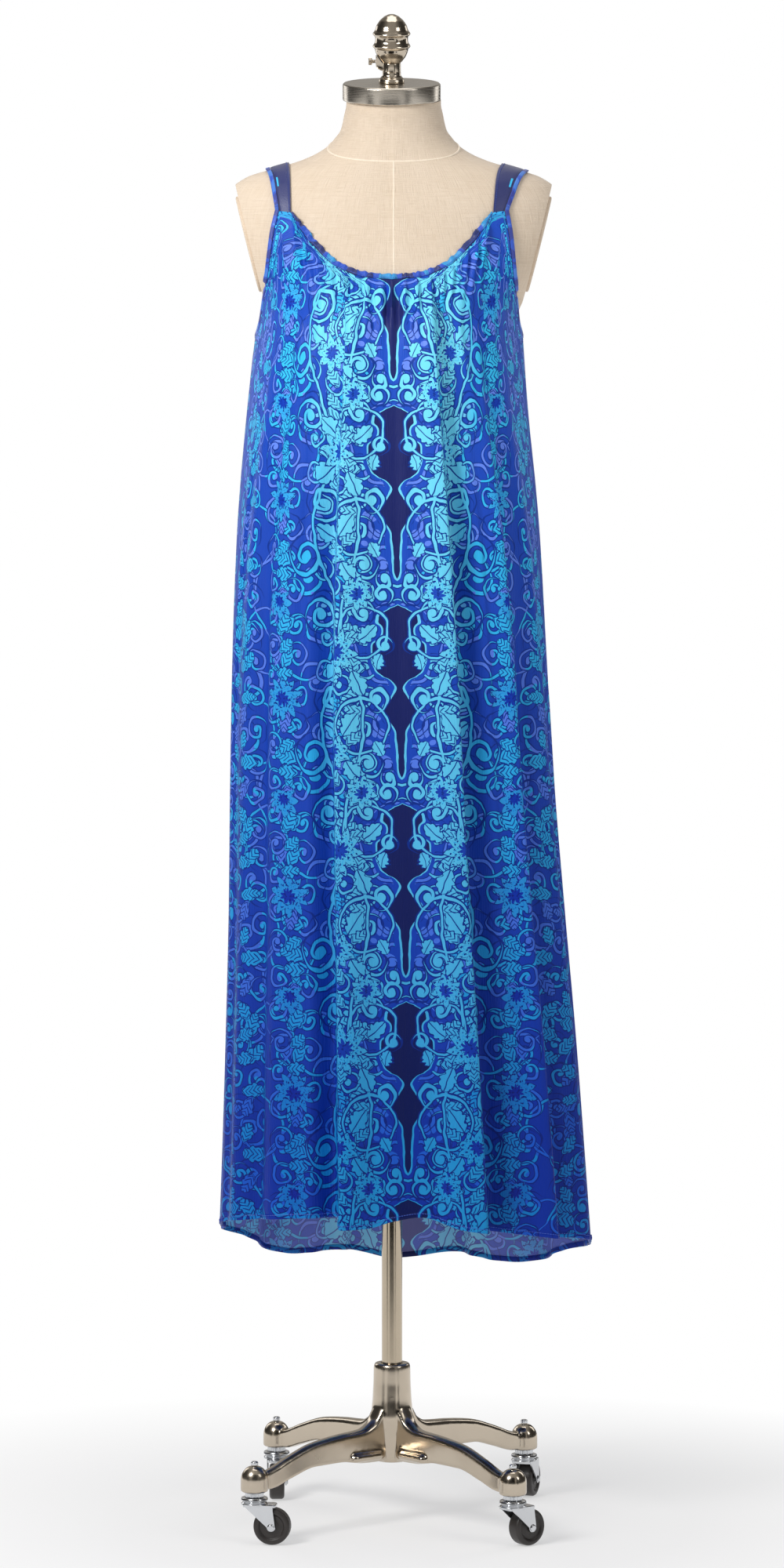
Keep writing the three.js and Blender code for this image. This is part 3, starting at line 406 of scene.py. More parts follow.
# %% [markdown]
# The form is covered in unbleached linen, pulled tight over a moulded body and seamed round
# the neck and down the middle. Linen is a plain weave with uneven threads, so the eye reads
# thin slubs running both ways rather than an even grid. Threads lie about 0.7 mm apart,
# which is finer than a pixel here, so they are drawn at 1.2 mm.

# %% Unbleached linen
LINEN_THREAD_MM = 1.2
SLUB_STRETCH = 0.06
LINEN_RELIEF_M = 0.0007


def linen(name, colour, dark_colour):
    """Woven linen: matt, with no gloss, so roughness is near one."""
    material, tree = new_material(name, colour)
    place = node(tree, "Attribute", attribute_name="weave_mm", out="Vector")
    per_thread = 1 / LINEN_THREAD_MM
    slubs = []
    for stretch in ((SLUB_STRETCH, 1, 1), (1, SLUB_STRETCH, 1)):
        along = node(tree, "Mapping", place, named={"Scale": tuple(s * per_thread for s in stretch)})
        slubs.append(node(tree, "TexNoise", along, named={"Scale": 1.0, "Detail": 1.5}, out="Fac"))
    weave = node(tree, "ADD", *slubs)
    cloud = node(tree, "TexNoise", place, named={"Scale": 0.012, "Detail": 3.0}, out="Fac")
    uneven = node(tree, "ADD", weave, cloud)
    amount = node(tree, "MapRange", uneven, 0.8, 2.1, 0.0, 1.0)
    tone = paint(tree, linear(dark_colour), linear(colour), amount)
    shader = node(
        tree,
        "BsdfPrincipled",
        named={"Base Color": tone, "Roughness": 0.92, "Specular IOR Level": 0.25, "Sheen Weight": 0.15},
    )
    close_material(tree, shader, weave, LINEN_RELIEF_M)
    return material


linen_cover = linen("unbleached linen", "#decdb9", "#cab69e")
# The seam linen is painted paler than the cover: a painted highlight along the raised seams.
seam_linen_painted_highlight = linen("linen seam", "#efe2d0", "#e0cfb8")


FORM_MEAN_RADIUS = 105


def mark_weave(mesh):
    """Stores where the threads run: round the body and up it, mirrored so that nothing tears."""
    attribute = mesh.attributes.new("weave_mm", "FLOAT_VECTOR", "POINT")
    co = np.array([v.co for v in mesh.vertices]) / MM - (MAST_AXIS_X, 0, 0)
    round_body = np.abs(np.arctan2(co[:, 0], -co[:, 1])) * FORM_MEAN_RADIUS
    values = np.stack([round_body, co[:, 2], 0 * round_body], 1)
    attribute.data.foreach_set("vector", values.astype(np.float32).ravel())


# %% [markdown]
# The body is lofted through many levels and then cut flat where the neck and the arms end,
# as the real form is moulded whole and sawn. The cuts are made on the mesh with planes, so
# their edges stay crisp.

# %% The linen torso
NECK_TILT = math.radians(9.6)
NECK_TOP = (-0.5, -5, 1759)
ARM_LEAN = 0.25
ARM_TOP_X = 193
ARM_TOP_Z = 1652
ARM_MIDDLE_Z = 1584
ARM_MIDDLE_X = ARM_TOP_X - (ARM_TOP_Z - ARM_MIDDLE_Z) * ARM_LEAN
# the rings lie closer together above these two neighbouring levels
SHOULDER_Z = (1640, 1643)
neck_frame = Matrix.Translation(NECK_TOP) @ Matrix.Rotation(NECK_TILT, 4, "X")


def arm_frame(side):
    """Its +X points out of the arm opening."""
    turn = Matrix.Rotation(math.pi if side < 0 else 0, 4, "Z")
    turn = turn @ Matrix.Rotation(math.atan(ARM_LEAN), 4, "Y")
    return Matrix.Translation((FORM_CENTRE_X + side * ARM_MIDDLE_X, 0, ARM_MIDDLE_Z)) @ turn


def form_ring(z, sides=144):
    angle = np.arange(sides) / sides * 2 * math.pi
    across = np.sin(angle)
    x = form_level(z, "half") * np.sign(across) * np.abs(across) ** (2 / form_level(z, "square"))
    to_front = np.cos(angle) > 0
    depth = np.where(np.abs(np.cos(angle)) < 1e-9, 0, form_depth(x, z, to_front))
    return np.stack([FORM_CENTRE_X + x, np.where(to_front, -depth, depth), np.full(sides, z)], 1)


def sawn(mesh, point, out):
    bm = bmesh.new()
    bm.from_mesh(mesh)
    plane = Vector(to_metres(point))
    everything = bm.verts[:] + bm.edges[:] + bm.faces[:]
    bmesh.ops.bisect_plane(bm, geom=everything, plane_co=plane, plane_no=out, clear_outer=True)
    bmesh.ops.holes_fill(bm, edges=[e for e in bm.edges if e.is_boundary], sides=0)
    bm.to_mesh(mesh)
    bm.free()


def make_torso():
    low = np.linspace(FORM_BOTTOM_Z, SHOULDER_Z[0], 110)
    high = np.linspace(SHOULDER_Z[1], FORM_LEVELS["z"].max(), 74)
    points, faces = lofted([form_ring(z) for z in [*low, *high]])
    torso = piece("linen_torso", points, faces, linen_cover, "form")
    sawn(torso.data, NECK_TOP, neck_frame.to_3x3() @ Vector((0, 0, 1)))
    for side in (-1, 1):
        frame_here = arm_frame(side)
        sawn(torso.data, frame_here.translation, frame_here.to_3x3() @ Vector((1, 0, 0)))
    settle(torso, "form", ["form_torso"], 0.6)
    mark_weave(torso.data)
    return torso


torso = make_torso()
print("torso", len(torso.data.polygons), "faces")

# %% [markdown]
# Each arm opening is closed by an oval board under the same linen. Its face is slightly
# crowned, because cloth is pulled over its edge. The seams are raised threads on the skin:
# one loop at the root of the neck, and one line down the middle of the front and the back.
# Their linen is painted a shade paler than the cover, a painted highlight along the ridges.

# %% Arm boards and seams
ARM_HALF_HEIGHT = 60
ARM_HALF_WIDTH = 41
# how far inside the board's outline, how high above the opening
ARM_CROWN = [(0, 0.1), (0, 1.2), (0, 2.6), (0.7, 3.5), (2.4, 4.0), (12, 4.25), (30, 4.3)]


def make_arm_board(side, name):
    rings = []
    turn = np.linspace(0, 2 * math.pi, 72, endpoint=False)
    for inset, height in ARM_CROWN:
        y = (ARM_HALF_WIDTH - inset) * np.cos(turn)
        z = (ARM_HALF_HEIGHT - inset) * np.sin(turn)
        rings.append(np.stack([np.full(72, height), y, z], 1))
    points, faces = moved(lofted(rings), arm_frame(side))
    board = piece(f"arm_board_{name}", points, faces, linen_cover, "form",
                  [f"arm_plate_{name}"], "linen_cover", 0.9)
    mark_weave(board.data)


def thread_along(points, radius, sides=6):
    """A thin tube through points, for a seam or a thread."""
    points = np.asarray(points, float)
    along = np.gradient(points, axis=0)
    along /= np.linalg.norm(along, axis=1)[:, None]
    guess = np.where(np.abs(along[:, 2:3]) < 0.8, [[0.0, 0, 1]], [[0.0, 1, 0]])
    first = np.cross(along, guess)
    first /= np.linalg.norm(first, axis=1)[:, None]
    second = np.cross(along, first)
    turns = np.arange(sides) / sides * 2 * math.pi
    return lofted([p + radius * (np.cos(turns)[:, None] * a + np.sin(turns)[:, None] * b)
                   for p, a, b in zip(points, first, second)])


SEAM_RADIUS = 1.5
SEAM_SUNK = 0.95
NECK_SEAM_FRONT_Z = 1682
NECK_SEAM_SIDE_Z = 1706
NECK_SEAM_BACK_Z = 1716
MIDDLE_SEAM_END_Z = 1500


def neck_seam_points():
    turn = np.linspace(0, 2 * math.pi, 160)
    middle = (NECK_SEAM_FRONT_Z + NECK_SEAM_BACK_Z) / 2
    swing = (NECK_SEAM_BACK_Z - NECK_SEAM_FRONT_Z) / 2
    z = middle - swing * np.cos(turn) + (NECK_SEAM_SIDE_Z - middle) * np.sin(turn) ** 2
    to_front = np.cos(turn) > 0
    x = form_level(z, "half") * np.sin(turn)
    depth = form_depth(x, z, to_front) - SEAM_SUNK * np.abs(np.cos(turn))
    x = x * (1 - SEAM_SUNK / form_level(z, "half") * np.abs(np.sin(turn)))
    return np.stack([FORM_CENTRE_X + x, np.where(to_front, -depth, depth), z], 1)


def middle_seam_points(to_front, top):
    z = np.linspace(top, MIDDLE_SEAM_END_Z, 60)
    x = np.zeros(60)
    depth = form_depth(x, z, to_front) - SEAM_SUNK
    return np.stack([FORM_CENTRE_X + x, -depth if to_front else depth, z], 1)


for side, name in ((-1, "left"), (1, "right")):
    make_arm_board(side, name)
seam_parts = [
    thread_along(neck_seam_points(), SEAM_RADIUS),
    thread_along(middle_seam_points(True, NECK_SEAM_FRONT_Z), SEAM_RADIUS),
    thread_along(middle_seam_points(False, NECK_SEAM_BACK_Z), SEAM_RADIUS),
]
seams = piece("linen_seams", *joined(seam_parts), seam_linen_painted_highlight, "form", slot="linen_cover")
mark_weave(seams.data)
print("arm boards and", len(seam_parts), "seams")

# %% [markdown]
# The metal is of three kinds. The cap is nickel-plated steel brushed in a circle, the base and
# the finial are castings polished by hand until they mirror, and the caster forks are bright
# zinc plate. All are metals, so metallic is one, the IOR stays at its default and the colour
# is the colour of the reflection. What tells them apart is roughness and how it runs. Brush
# lines are finer than a pixel, so they are drawn 0.8 mm apart.

# %% Metals
BRUSH_LINES_MM = 0.8


def brushed_nickel(name):
    """Nickel plate under a fine turned brush: streaks run round the axis."""
    material, tree = new_material(name, "#bdb6ab")
    place = node(tree, "TexCoord", out="Object")
    lines = node(tree, "Mapping", place, named={"Scale": (20, 20, 1 / (BRUSH_LINES_MM * MM))})
    grain = node(tree, "TexNoise", lines, named={"Scale": 1.0, "Detail": 3.0}, out="Fac")
    rough = node(tree, "MapRange", grain, 0.3, 0.7, 0.2, 0.34)
    bare = {"Base Color": linear("#c3bbaf"), "Metallic": 1.0, "Roughness": rough}
    shader = node(tree, "BsdfPrincipled", named=bare)
    close_material(tree, shader, grain, 0.00006)
    return material


def smooth_metal(name, colour, roughness, ripple):
    """A mirror with soft ripples and a few duller patches.

    Hand polishing leaves the deepest ripples, in a casting, and a drawn tube has hardly any.
    """
    material, tree = new_material(name, colour)
    place = node(tree, "TexCoord", out="Object")
    wave = node(tree, "TexNoise", place, named={"Scale": 36.0, "Detail": 1.0}, out="Fac")
    dull = node(tree, "TexNoise", place, named={"Scale": 18.0, "Detail": 4.0}, out="Fac")
    rough = node(tree, "MapRange", dull, 0.35, 0.75, roughness, roughness + 0.14)
    bare = {"Base Color": linear(colour), "Metallic": 1.0, "Roughness": rough}
    shader = node(tree, "BsdfPrincipled", named=bare)
    close_material(tree, shader, wave, ripple)
    return material


brushed_cap = brushed_nickel("brushed nickel plate")
polished_mast = smooth_metal("polished nickel tube", "#b9ac98", 0.12, 0.00003)
cast_metal = smooth_metal("hand polished casting", "#c2b6a5", 0.15, 0.0004)
zinc_plate = smooth_metal("bright zinc plate", "#d3d5d8", 0.16, 0.0002)


def rounded(profile, radius, steps=4):
    """The same outline with each corner replaced by a small arc."""
    profile = [np.array(p, float) for p in profile]
    made = [profile[0]]
    for before, corner, after in zip(profile, profile[1:], profile[2:]):
        back, on = before - corner, after - corner
        reach = min(radius, 0.45 * np.linalg.norm(back), 0.45 * np.linalg.norm(on))
        start = corner + back / np.linalg.norm(back) * reach
        end = corner + on / np.linalg.norm(on) * reach
        for t in np.linspace(0, 1, steps):
            made.append((1 - t) ** 2 * start + 2 * t * (1 - t) * corner + t**2 * end)
    return [*made, profile[-1]]


def turned(profile, sides=96):
    """A body turned about Z from (radius, height) pairs that begin and end on the axis."""
    rings = []
    angle = np.arange(sides) / sides * 2 * math.pi
    for radius, height in profile:
        rings.append(np.stack([radius * np.cos(angle), radius * np.sin(angle), np.full(sides, height)], 1))
    inner = [ring for ring in rings if np.abs(ring[:, :2]).max() > 1e-6]
    return lofted(inner)


def turned_ring(profile, sides=96):
    """The same for a closed outline that stays clear of the axis."""
    points, faces = turned([*profile, profile[0]], sides)
    faces = faces[:-2]
    last = len(profile) * sides
    return points[:last], [tuple(i % last for i in face) for face in faces]


# %% [markdown]
# Everything on the neck is turned on a lathe, except the lug that the thumb screw runs in: a
# tongue that rises from the collar and hugs the knob's bowl. The knob's outline is one list
# of radii and heights whose corners are eased by a small arc, because a sharp ring would
# catch no light.

# %% Neck cap, collar, thumb screw and finial
SEAM_GAP = 0.3
CAP_HEIGHT = 21
COLLAR_HEIGHT = 24.2
collar_base = CAP_HEIGHT + 2 * SEAM_GAP
CAP = [(0, 0), (59, 0), (60, 1), (60, 19.2), (58.2, 21), (57, 20.6), (30, 21), (0, 21)]
COLLAR = [(0, 0), (15.6, 0), (15.9, 2), (15.4, 4.6), (12.4, 7.6), (11.3, 9.4), (11.3, 13), (10.9, 13.3),
          (10.9, 13.7), (11.2, 14), (11.2, COLLAR_HEIGHT), (0, COLLAR_HEIGHT)]
SCREW = [(0, 0), (2, 0), (2, 4.2), (3.6, 4.3), (4.15, 5), (4.15, 8), (3.4, 8.6), (0, 8.6)]
KNOB = [(0, 0), (11.6, 0), (14.4, 3.6), (17, 6.9), (18.6, 10.2), (20, 14), (20.4, 16.6), (23.1, 19.6),
        (22.9, 21.2), (20.4, 24.8), (20, 28), (20.2, 31.6), (23.1, 34.7), (22.9, 36.3), (20.3, 39.6),
        (18.6, 45.4), (14.5, 51.6), (8.9, 56.5), (4, 58.9), (0, 59.4)]
BOWL_POINTS = 10
SCREW_UP = 26
SCREW_FLUTES = 12
SCREW_KNURL = 0.06
LUG_OUT = 19.4
LUG_ROOT = 9
LUG_BOTTOM = 14.5
LUG_TOP = 33
LUG_THICKNESS = 11
LUG_EDGE = 1.2
# height above the collar's foot, how far out the lug's outer face lies
LUG_FACE = table("up out", [(LUG_BOTTOM, 9.6), (15.4, 13.4), (17.4, 16.8), (20, 18.9), (22.6, LUG_OUT),
                            (LUG_TOP, LUG_OUT)])


def on_neck(part, height=0.0):
    return moved(part, neck_frame @ Matrix.Translation((0, 0, height)))


def thumb_screw_part():
    """The head is knurled by pushing every other column of points in a little."""
    points, faces = turned(rounded(SCREW, 0.4), 48)
    angle = np.arctan2(points[:, 1], points[:, 0])
    radius = np.hypot(points[:, 0], points[:, 1])
    knurl = np.where(radius > 3, 1 + SCREW_KNURL * np.cos(SCREW_FLUTES * angle), 1)
    points = points * np.stack([knurl, knurl, np.ones_like(knurl)], 1)
    sideways = Matrix.Translation((-LUG_OUT - SEAM_GAP, 0, SCREW_UP)) @ Matrix.Rotation(-math.pi / 2, 4, "Y")
    return moved((points, faces), sideways)


def lug_part():
    """Level sections: rounded outside, and inside kept clear of the knob's bowl."""
    bowl_up = np.array([p[1] for p in KNOB[:BOWL_POINTS]]) + COLLAR_HEIGHT + SEAM_GAP
    bowl = np.array([p[0] for p in KNOB[:BOWL_POINTS]]) + SEAM_GAP
    rings = []
    for up in np.linspace(LUG_BOTTOM, LUG_TOP, 26):
        far = np.interp(up, LUG_FACE["up"], LUG_FACE["out"])
        near = max(LUG_ROOT, np.interp(up, bowl_up, bowl, left=LUG_ROOT))
        far = max(far, near + 0.3)
        edge = min(LUG_EDGE, (far - near) * 0.4)
        half = LUG_THICKNESS / 2
        eased = edge * 0.3
        outline = [(near, half), (far - edge, half), (far - eased, half - eased), (far, half - edge),
                   (far, edge - half), (far - eased, eased - half), (far - edge, -half), (near, -half)]
        rings.append(np.array([(-out, aside, up) for out, aside in outline]))
    return lofted(rings)


collar_parts = joined([turned(rounded(COLLAR, 0.8)), lug_part()])
knob_base = collar_base + COLLAR_HEIGHT + SEAM_GAP
piece("neck_cap_turned", *on_neck(turned(rounded(CAP, 0.8), 160), SEAM_GAP), brushed_cap, "form",
      ["neck_cap"], "brushed_nickel")
piece("collar_and_lug", *on_neck(collar_parts, collar_base), cast_metal, "form",
      ["finial_collar"], "polished_casting")
piece("thumb_screw_knurled", *on_neck(thumb_screw_part(), collar_base), cast_metal, "form",
      ["thumb_screw"], "polished_casting")
piece("finial_knob", *on_neck(turned(rounded(KNOB, 1.4, 5)), knob_base), cast_metal, "form",
      ["finial"], "polished_casting", 1.0)
print("neck fittings made")

# %% [markdown]
# The mast is a plain nickel tube. Under the form it passes through a board and a flanged
# socket. They are turned too, with a hole for the mast, so their outline is a closed loop.

# %% Mast, socket and board
MAST_RADIUS = 12.7
MAST_HOLE = 13.0
MAST_BOTTOM_Z = 84
MAST_TOP_Z = 1270
PLATE_TOP_Z = FORM_BOTTOM_Z - SEAM_GAP
PLATE_BOTTOM_Z = PLATE_TOP_Z - 8
SOCKET_TOP_Z = PLATE_BOTTOM_Z - SEAM_GAP
SOCKET_BOTTOM_Z = SOCKET_TOP_Z - 46
MAST = [(0, MAST_BOTTOM_Z), (MAST_RADIUS - 1, MAST_BOTTOM_Z), (MAST_RADIUS, MAST_BOTTOM_Z + 1),
        (MAST_RADIUS, MAST_TOP_Z - 1), (MAST_RADIUS - 1, MAST_TOP_Z), (0, MAST_TOP_Z)]
SOCKET = [(MAST_HOLE, SOCKET_BOTTOM_Z), (18, SOCKET_BOTTOM_Z), (19, SOCKET_BOTTOM_Z + 2),
          (19, SOCKET_TOP_Z - 6), (33, SOCKET_TOP_Z - 5), (34, SOCKET_TOP_Z - 4), (34, SOCKET_TOP_Z),
          (MAST_HOLE, SOCKET_TOP_Z)]
BOARD = [(MAST_HOLE, PLATE_BOTTOM_Z), (77, PLATE_BOTTOM_Z), (78, PLATE_BOTTOM_Z + 1), (78, PLATE_TOP_Z - 1),
         (77, PLATE_TOP_Z), (MAST_HOLE, PLATE_TOP_Z)]


def stained_board(name):
    """Hardboard stained brown: a dull, slightly mottled brown."""
    material, tree = new_material(name, "#6d5236")
    place = node(tree, "TexCoord", out="Object")
    fibre = node(tree, "TexNoise", place, named={"Scale": 220.0, "Detail": 5.0}, out="Fac")
    tone = paint(tree, linear("#594028"), linear("#806242"), fibre)
    shader = node(tree, "BsdfPrincipled", named={"Base Color": tone, "Roughness": 0.75})
    close_material(tree, shader, fibre, 0.0002)
    return material


piece("mast_tube", *turned(MAST), polished_mast, "mast", ["mast"], "polished_nickel")
piece("socket_flanged", *turned_ring(SOCKET), brushed_cap, "form", ["mast_socket"], "brushed_nickel")
piece("bottom_board", *turned_ring(BOARD), stained_board("stained hardboard"), "form",
      ["under_plate"], "bottom_board")
print("mast", MAST_TOP_Z - MAST_BOTTOM_Z, "mm long")

# %% [markdown]
# The base is one casting: a hub, four arched legs and a dome at each foot. A founder's pattern
# has no sharp inside corners, because metal would tear there. So the parts are modelled
# plainly, melted together by a voxel remesh and then smoothed, which leaves the same soft
# fillets that the real casting has.

# %% The cast base
BASE_TURN = math.radians(-3.77)
DOME_DISTANCE = 223
HUB_TOP_Z = 199
HUB_BOTTOM_Z = 76
CAST_VOXEL_M = 0.0016
HUB = [(MAST_HOLE, HUB_BOTTOM_Z), (20, HUB_BOTTOM_Z), (21.5, 78), (24, 110), (26.5, 132), (24.4, 152),
       (23.2, 175), (22.9, 194), (21.4, HUB_TOP_Z), (MAST_HOLE, HUB_TOP_Z)]
DOME = [(0, 64), (17, 64), (17, 81), (15.4, 87), (11, 93), (6, 95.8), (0, 96.5)]
LEG = table(
    "along top bottom width",
    [
        (15, 153, 80, 22),
        (24, 146, 79, 23),
        (35, 130, 79, 22),
        (54, 121, 79.5, 20),
        (90, 118.5, 84.5, 18),
        (130, 113.5, 84, 17),
        (170, 101, 74, 16),
        (198, 90, 65.5, 15),
        (214, 86, 64.5, 14),
    ],
)
leg_at = reader(LEG, "along")
LEG_EDGE = 2
RIB_ALONG = 50
RIB_ASIDE = 9.5
RIB_HEIGHT = 87.5
RIB_RADIUS = 8
RIB_HALF_LENGTH = 18


def leg_angle(corner):
    return BASE_TURN + math.radians(45 + 90 * corner)


def leg_part():
    """Sections with flat sides, a crowned top and eased lower edges."""
    rings = []
    eased = 0.3 * LEG_EDGE
    for along in np.linspace(LEG["along"].min(), LEG["along"].max(), 70):
        top, bottom, half = leg_at(along, "top"), leg_at(along, "bottom"), leg_at(along, "width") / 2
        crown = 0.62 * half
        turn = np.linspace(0, math.pi, 15)
        upper = np.stack([half * np.cos(turn), top - crown + crown * np.sin(turn)], 1)
        low, high = bottom + eased, bottom + LEG_EDGE
        lower = np.array([[-half, high], [-half + eased, low], [-half + LEG_EDGE, bottom],
                          [half - LEG_EDGE, bottom], [half - eased, low], [half, high]])
        outline = np.concatenate([upper, lower])
        rings.append(np.stack([np.full(len(outline), along), outline[:, 0], outline[:, 1]], 1))
    return lofted(rings)


def rib_part(side):
    """A raised bar with round ends on the leg's flank near the hub."""
    rings = []
    turn = np.arange(20) / 20 * 2 * math.pi
    for t in np.linspace(-1, 1, 33) * (RIB_HALF_LENGTH + RIB_RADIUS - 0.2):
        past = max(abs(t) - RIB_HALF_LENGTH, 0)
        radius = math.sqrt(RIB_RADIUS**2 - past**2)
        aside = side * RIB_ASIDE + radius * np.cos(turn) * 0.95
        upright = RIB_HEIGHT + 0.7 * radius * np.sin(turn)
        rings.append(np.stack([np.full(20, RIB_ALONG + t), aside, upright], 1))
    return lofted(rings)


def make_base():
    parts = [turned_ring(rounded(HUB, 3), 72)]
    for corner in range(4):
        turn = Matrix.Rotation(leg_angle(corner), 4, "Z")
        dome = moved(turned(rounded(DOME, 2), 64), Matrix.Translation((DOME_DISTANCE, 0, 0)))
        parts += [moved(part, turn) for part in (leg_part(), dome, rib_part(-1), rib_part(1))]
    base = piece("cast_base", *joined(parts), cast_metal, "base", ["hub_and_legs"], "polished_casting", 0.9)
    melt = base.modifiers.new("melt", "REMESH")
    melt.mode = "VOXEL"
    melt.voxel_size = CAST_VOXEL_M
    melt.use_smooth_shade = True
    ease = base.modifiers.new("ease", "SMOOTH")
    ease.factor = 0.5
    ease.iterations = 6
    return base


cast_base = make_base()
print("cast base on", len(cast_base.data.polygons), "plain faces")

# %% [markdown]
# Each caster is a pressed steel fork with a ball race on top, a solid rubber wheel and a
# riveted axle, under a toothed ring. One caster is described in its own frame, with the
# swivel axis at zero and the wheel trailing along +X, and a loop sets four of them under the
# domes, each turned the way its wheel happens to trail.

# %% Casters
WHEEL_RADIUS = 22.5
WHEEL_WIDTH = 19
WHEEL_TRAIL = 22
FORK_INNER = WHEEL_WIDTH / 2 + 1
FORK_WALL = 2
FORK_TOP_Z = 49.5
CROWN_BACK_X, CROWN_FRONT_X = -13, 27
CHEEK_FRONT_X = 23.5
EYE_RADIUS = 5.5
EYE_UP = 22.5
TREAD_SIDES = 96
WHEEL = [(3.3, -8.5), (8, -8.5), (9, -7.6), (14.6, -7.2), (15.6, -8.8), (18, -9.5), (21, -8.8), (22.5, -6.6),
         (22.5, 6.6), (21, 8.8), (18, 9.5), (15.6, 8.8), (14.6, 7.2), (9, 7.6), (8, 8.5), (3.3, 8.5)]
RACE = [(0, 48.5), (16.4, 48.5), (16.4, 50.5), (14.2, 52.1), (14.4, 53), (17, 54.5), (16, 57.3), (0, 57.3)]
RIVET = [(0, -14.4), (3.2, -14.1), (4.6, -12.9), (3, -12.8), (3, 12.8), (4.6, 12.9), (3.2, 14.1), (0, 14.4)]
DOME_SCREW = [(0, 0), (4.6, 0), (4.6, 3.4), (3.4, 4.6), (0, 5)]
TOOTHED_RING = [(0, 0), (11.5, 0), (11.5, 6), (0, 6)]
RING_TEETH = 24
RING_Z = 57.7
DOME_SCREW_Z = 96.8
# name, corner of the base, the way the wheel trails in degrees
CASTERS = [("back_right", 0, 72), ("back_left", 1, -88), ("front_left", 2, -8), ("front_right", 3, 39)]


def black_rubber(name):
    """Hard moulded rubber: near black, half matt, with a faint mould grain and floor dust."""
    material, tree = new_material(name, "#262221")
    place = node(tree, "TexCoord", out="Object")
    grain = node(tree, "TexNoise", place, named={"Scale": 900.0, "Detail": 2.0}, out="Fac")
    dust = node(tree, "TexNoise", place, named={"Scale": 70.0, "Detail": 3.0}, out="Fac")
    tone = paint(tree, linear("#1b1817"), linear("#37322f"), dust)
    shader = node(tree, "BsdfPrincipled", named={"Base Color": tone, "Roughness": 0.42})
    close_material(tree, shader, grain, 0.00008)
    return material


tyre_rubber = black_rubber("hard moulded rubber")


def cheek_part(side):
    """One side of the fork: a plate that narrows to a round eye at the axle."""
    turn = np.linspace(0, -math.pi, 25)
    eye = np.stack([WHEEL_TRAIL + EYE_RADIUS * np.cos(turn), EYE_UP + EYE_RADIUS * np.sin(turn)], 1)
    outline = np.concatenate([[[CROWN_BACK_X, FORK_TOP_Z], [CHEEK_FRONT_X, FORK_TOP_Z]], eye])
    inside, outside = side * FORK_INNER, side * (FORK_INNER + FORK_WALL)
    rings = []
    for y, inset in ((inside, 0), (lerp(inside, outside, 0.7), 0), (outside, 0.5)):
        centre = outline.mean(0)
        shrunk = outline + (centre - outline) / np.linalg.norm(centre - outline, axis=1)[:, None] * inset
        rings.append(np.stack([shrunk[:, 0], np.full(len(outline), y), shrunk[:, 1]], 1))
    return lofted(rings)


def fork_part():
    half = FORK_INNER + FORK_WALL
    rings = []
    for z, inset in ((FORK_TOP_Z - 3, 0), (FORK_TOP_Z - 0.8, 0), (FORK_TOP_Z, 0.8)):
        turn = np.arange(48) / 48 * 2 * math.pi
        reach = (CROWN_FRONT_X - CROWN_BACK_X) / 2 - inset
        x = (CROWN_FRONT_X + CROWN_BACK_X) / 2 + reach * np.sign(np.cos(turn)) * np.abs(np.cos(turn)) ** 0.3
        y = (half - inset) * np.sign(np.sin(turn)) * np.abs(np.sin(turn)) ** 0.25
        rings.append(np.stack([x, y, np.full(48, z)], 1))
    race = turned(rounded(RACE, 0.7), 64)
    return joined([lofted(rings), cheek_part(-1), cheek_part(1), race])


def toothed_ring_part():
    points, faces = turned(rounded(TOOTHED_RING, 0.4), RING_TEETH * 4)
    angle = np.arctan2(points[:, 1], points[:, 0])
    radius = np.hypot(points[:, 0], points[:, 1])
    tooth = np.where(radius > 11, 1 - 0.07 * (np.cos(RING_TEETH * angle) < 0), 1)
    return points * np.stack([tooth, tooth, np.ones_like(tooth)], 1), faces


def make_caster(name, corner, trail):
    angle = leg_angle(corner)
    spot = Matrix.Translation((DOME_DISTANCE * math.cos(angle), DOME_DISTANCE * math.sin(angle), 0))
    spot = spot @ Matrix.Rotation(math.radians(trail), 4, "Z")
    axle = spot @ Matrix.Translation((WHEEL_TRAIL, 0, WHEEL_RADIUS)) @ Matrix.Rotation(math.pi / 2, 4, "X")
    screw_part = moved(turned(rounded(DOME_SCREW, 0.5), 32), Matrix.Translation((0, 0, DOME_SCREW_Z)))
    ring_part = moved(toothed_ring_part(), Matrix.Translation((0, 0, RING_Z)))
    wheel_part = turned_ring(rounded(WHEEL, 0.8, 3), TREAD_SIDES)
    rivet_part = turned(rounded(RIVET, 0.4), 40)
    piece(f"screw_{name}", *moved(screw_part, spot), zinc_plate, "base",
          [f"dome_screw_{name}"], "zinc_plate")
    piece(f"ring_{name}", *moved(ring_part, spot), zinc_plate, "base",
          [f"toothed_ring_{name}"], "zinc_plate", 0.5)
    piece(f"fork_pressed_{name}", *moved(fork_part(), spot), zinc_plate, f"fork_{name}",
          [f"caster_fork_{name}"], "zinc_plate", 0.6)
    piece(f"rivet_{name}", *moved(rivet_part, axle), zinc_plate, f"fork_{name}",
          [f"caster_axle_{name}"], "zinc_plate")
    piece(f"tyre_{name}", *moved(wheel_part, axle), tyre_rubber, f"wheel_{name}",
          [f"caster_wheel_{name}"], "black_rubber")


for name, corner, trail in CASTERS:
    make_caster(name, corner, trail)
print(len(CASTERS), "casters")

# %% [markdown]
# Now the gown. Its outline is again a table of levels, this time with a left and a right half
# width, because it hangs a little to one side. Two more tables hold the neckline and the
# armholes of each panel, one the height of the hem round the skirt, and one the large folds.
# A fold is a ridge with one wide and one narrow flank, which is how satin falls from a gather.

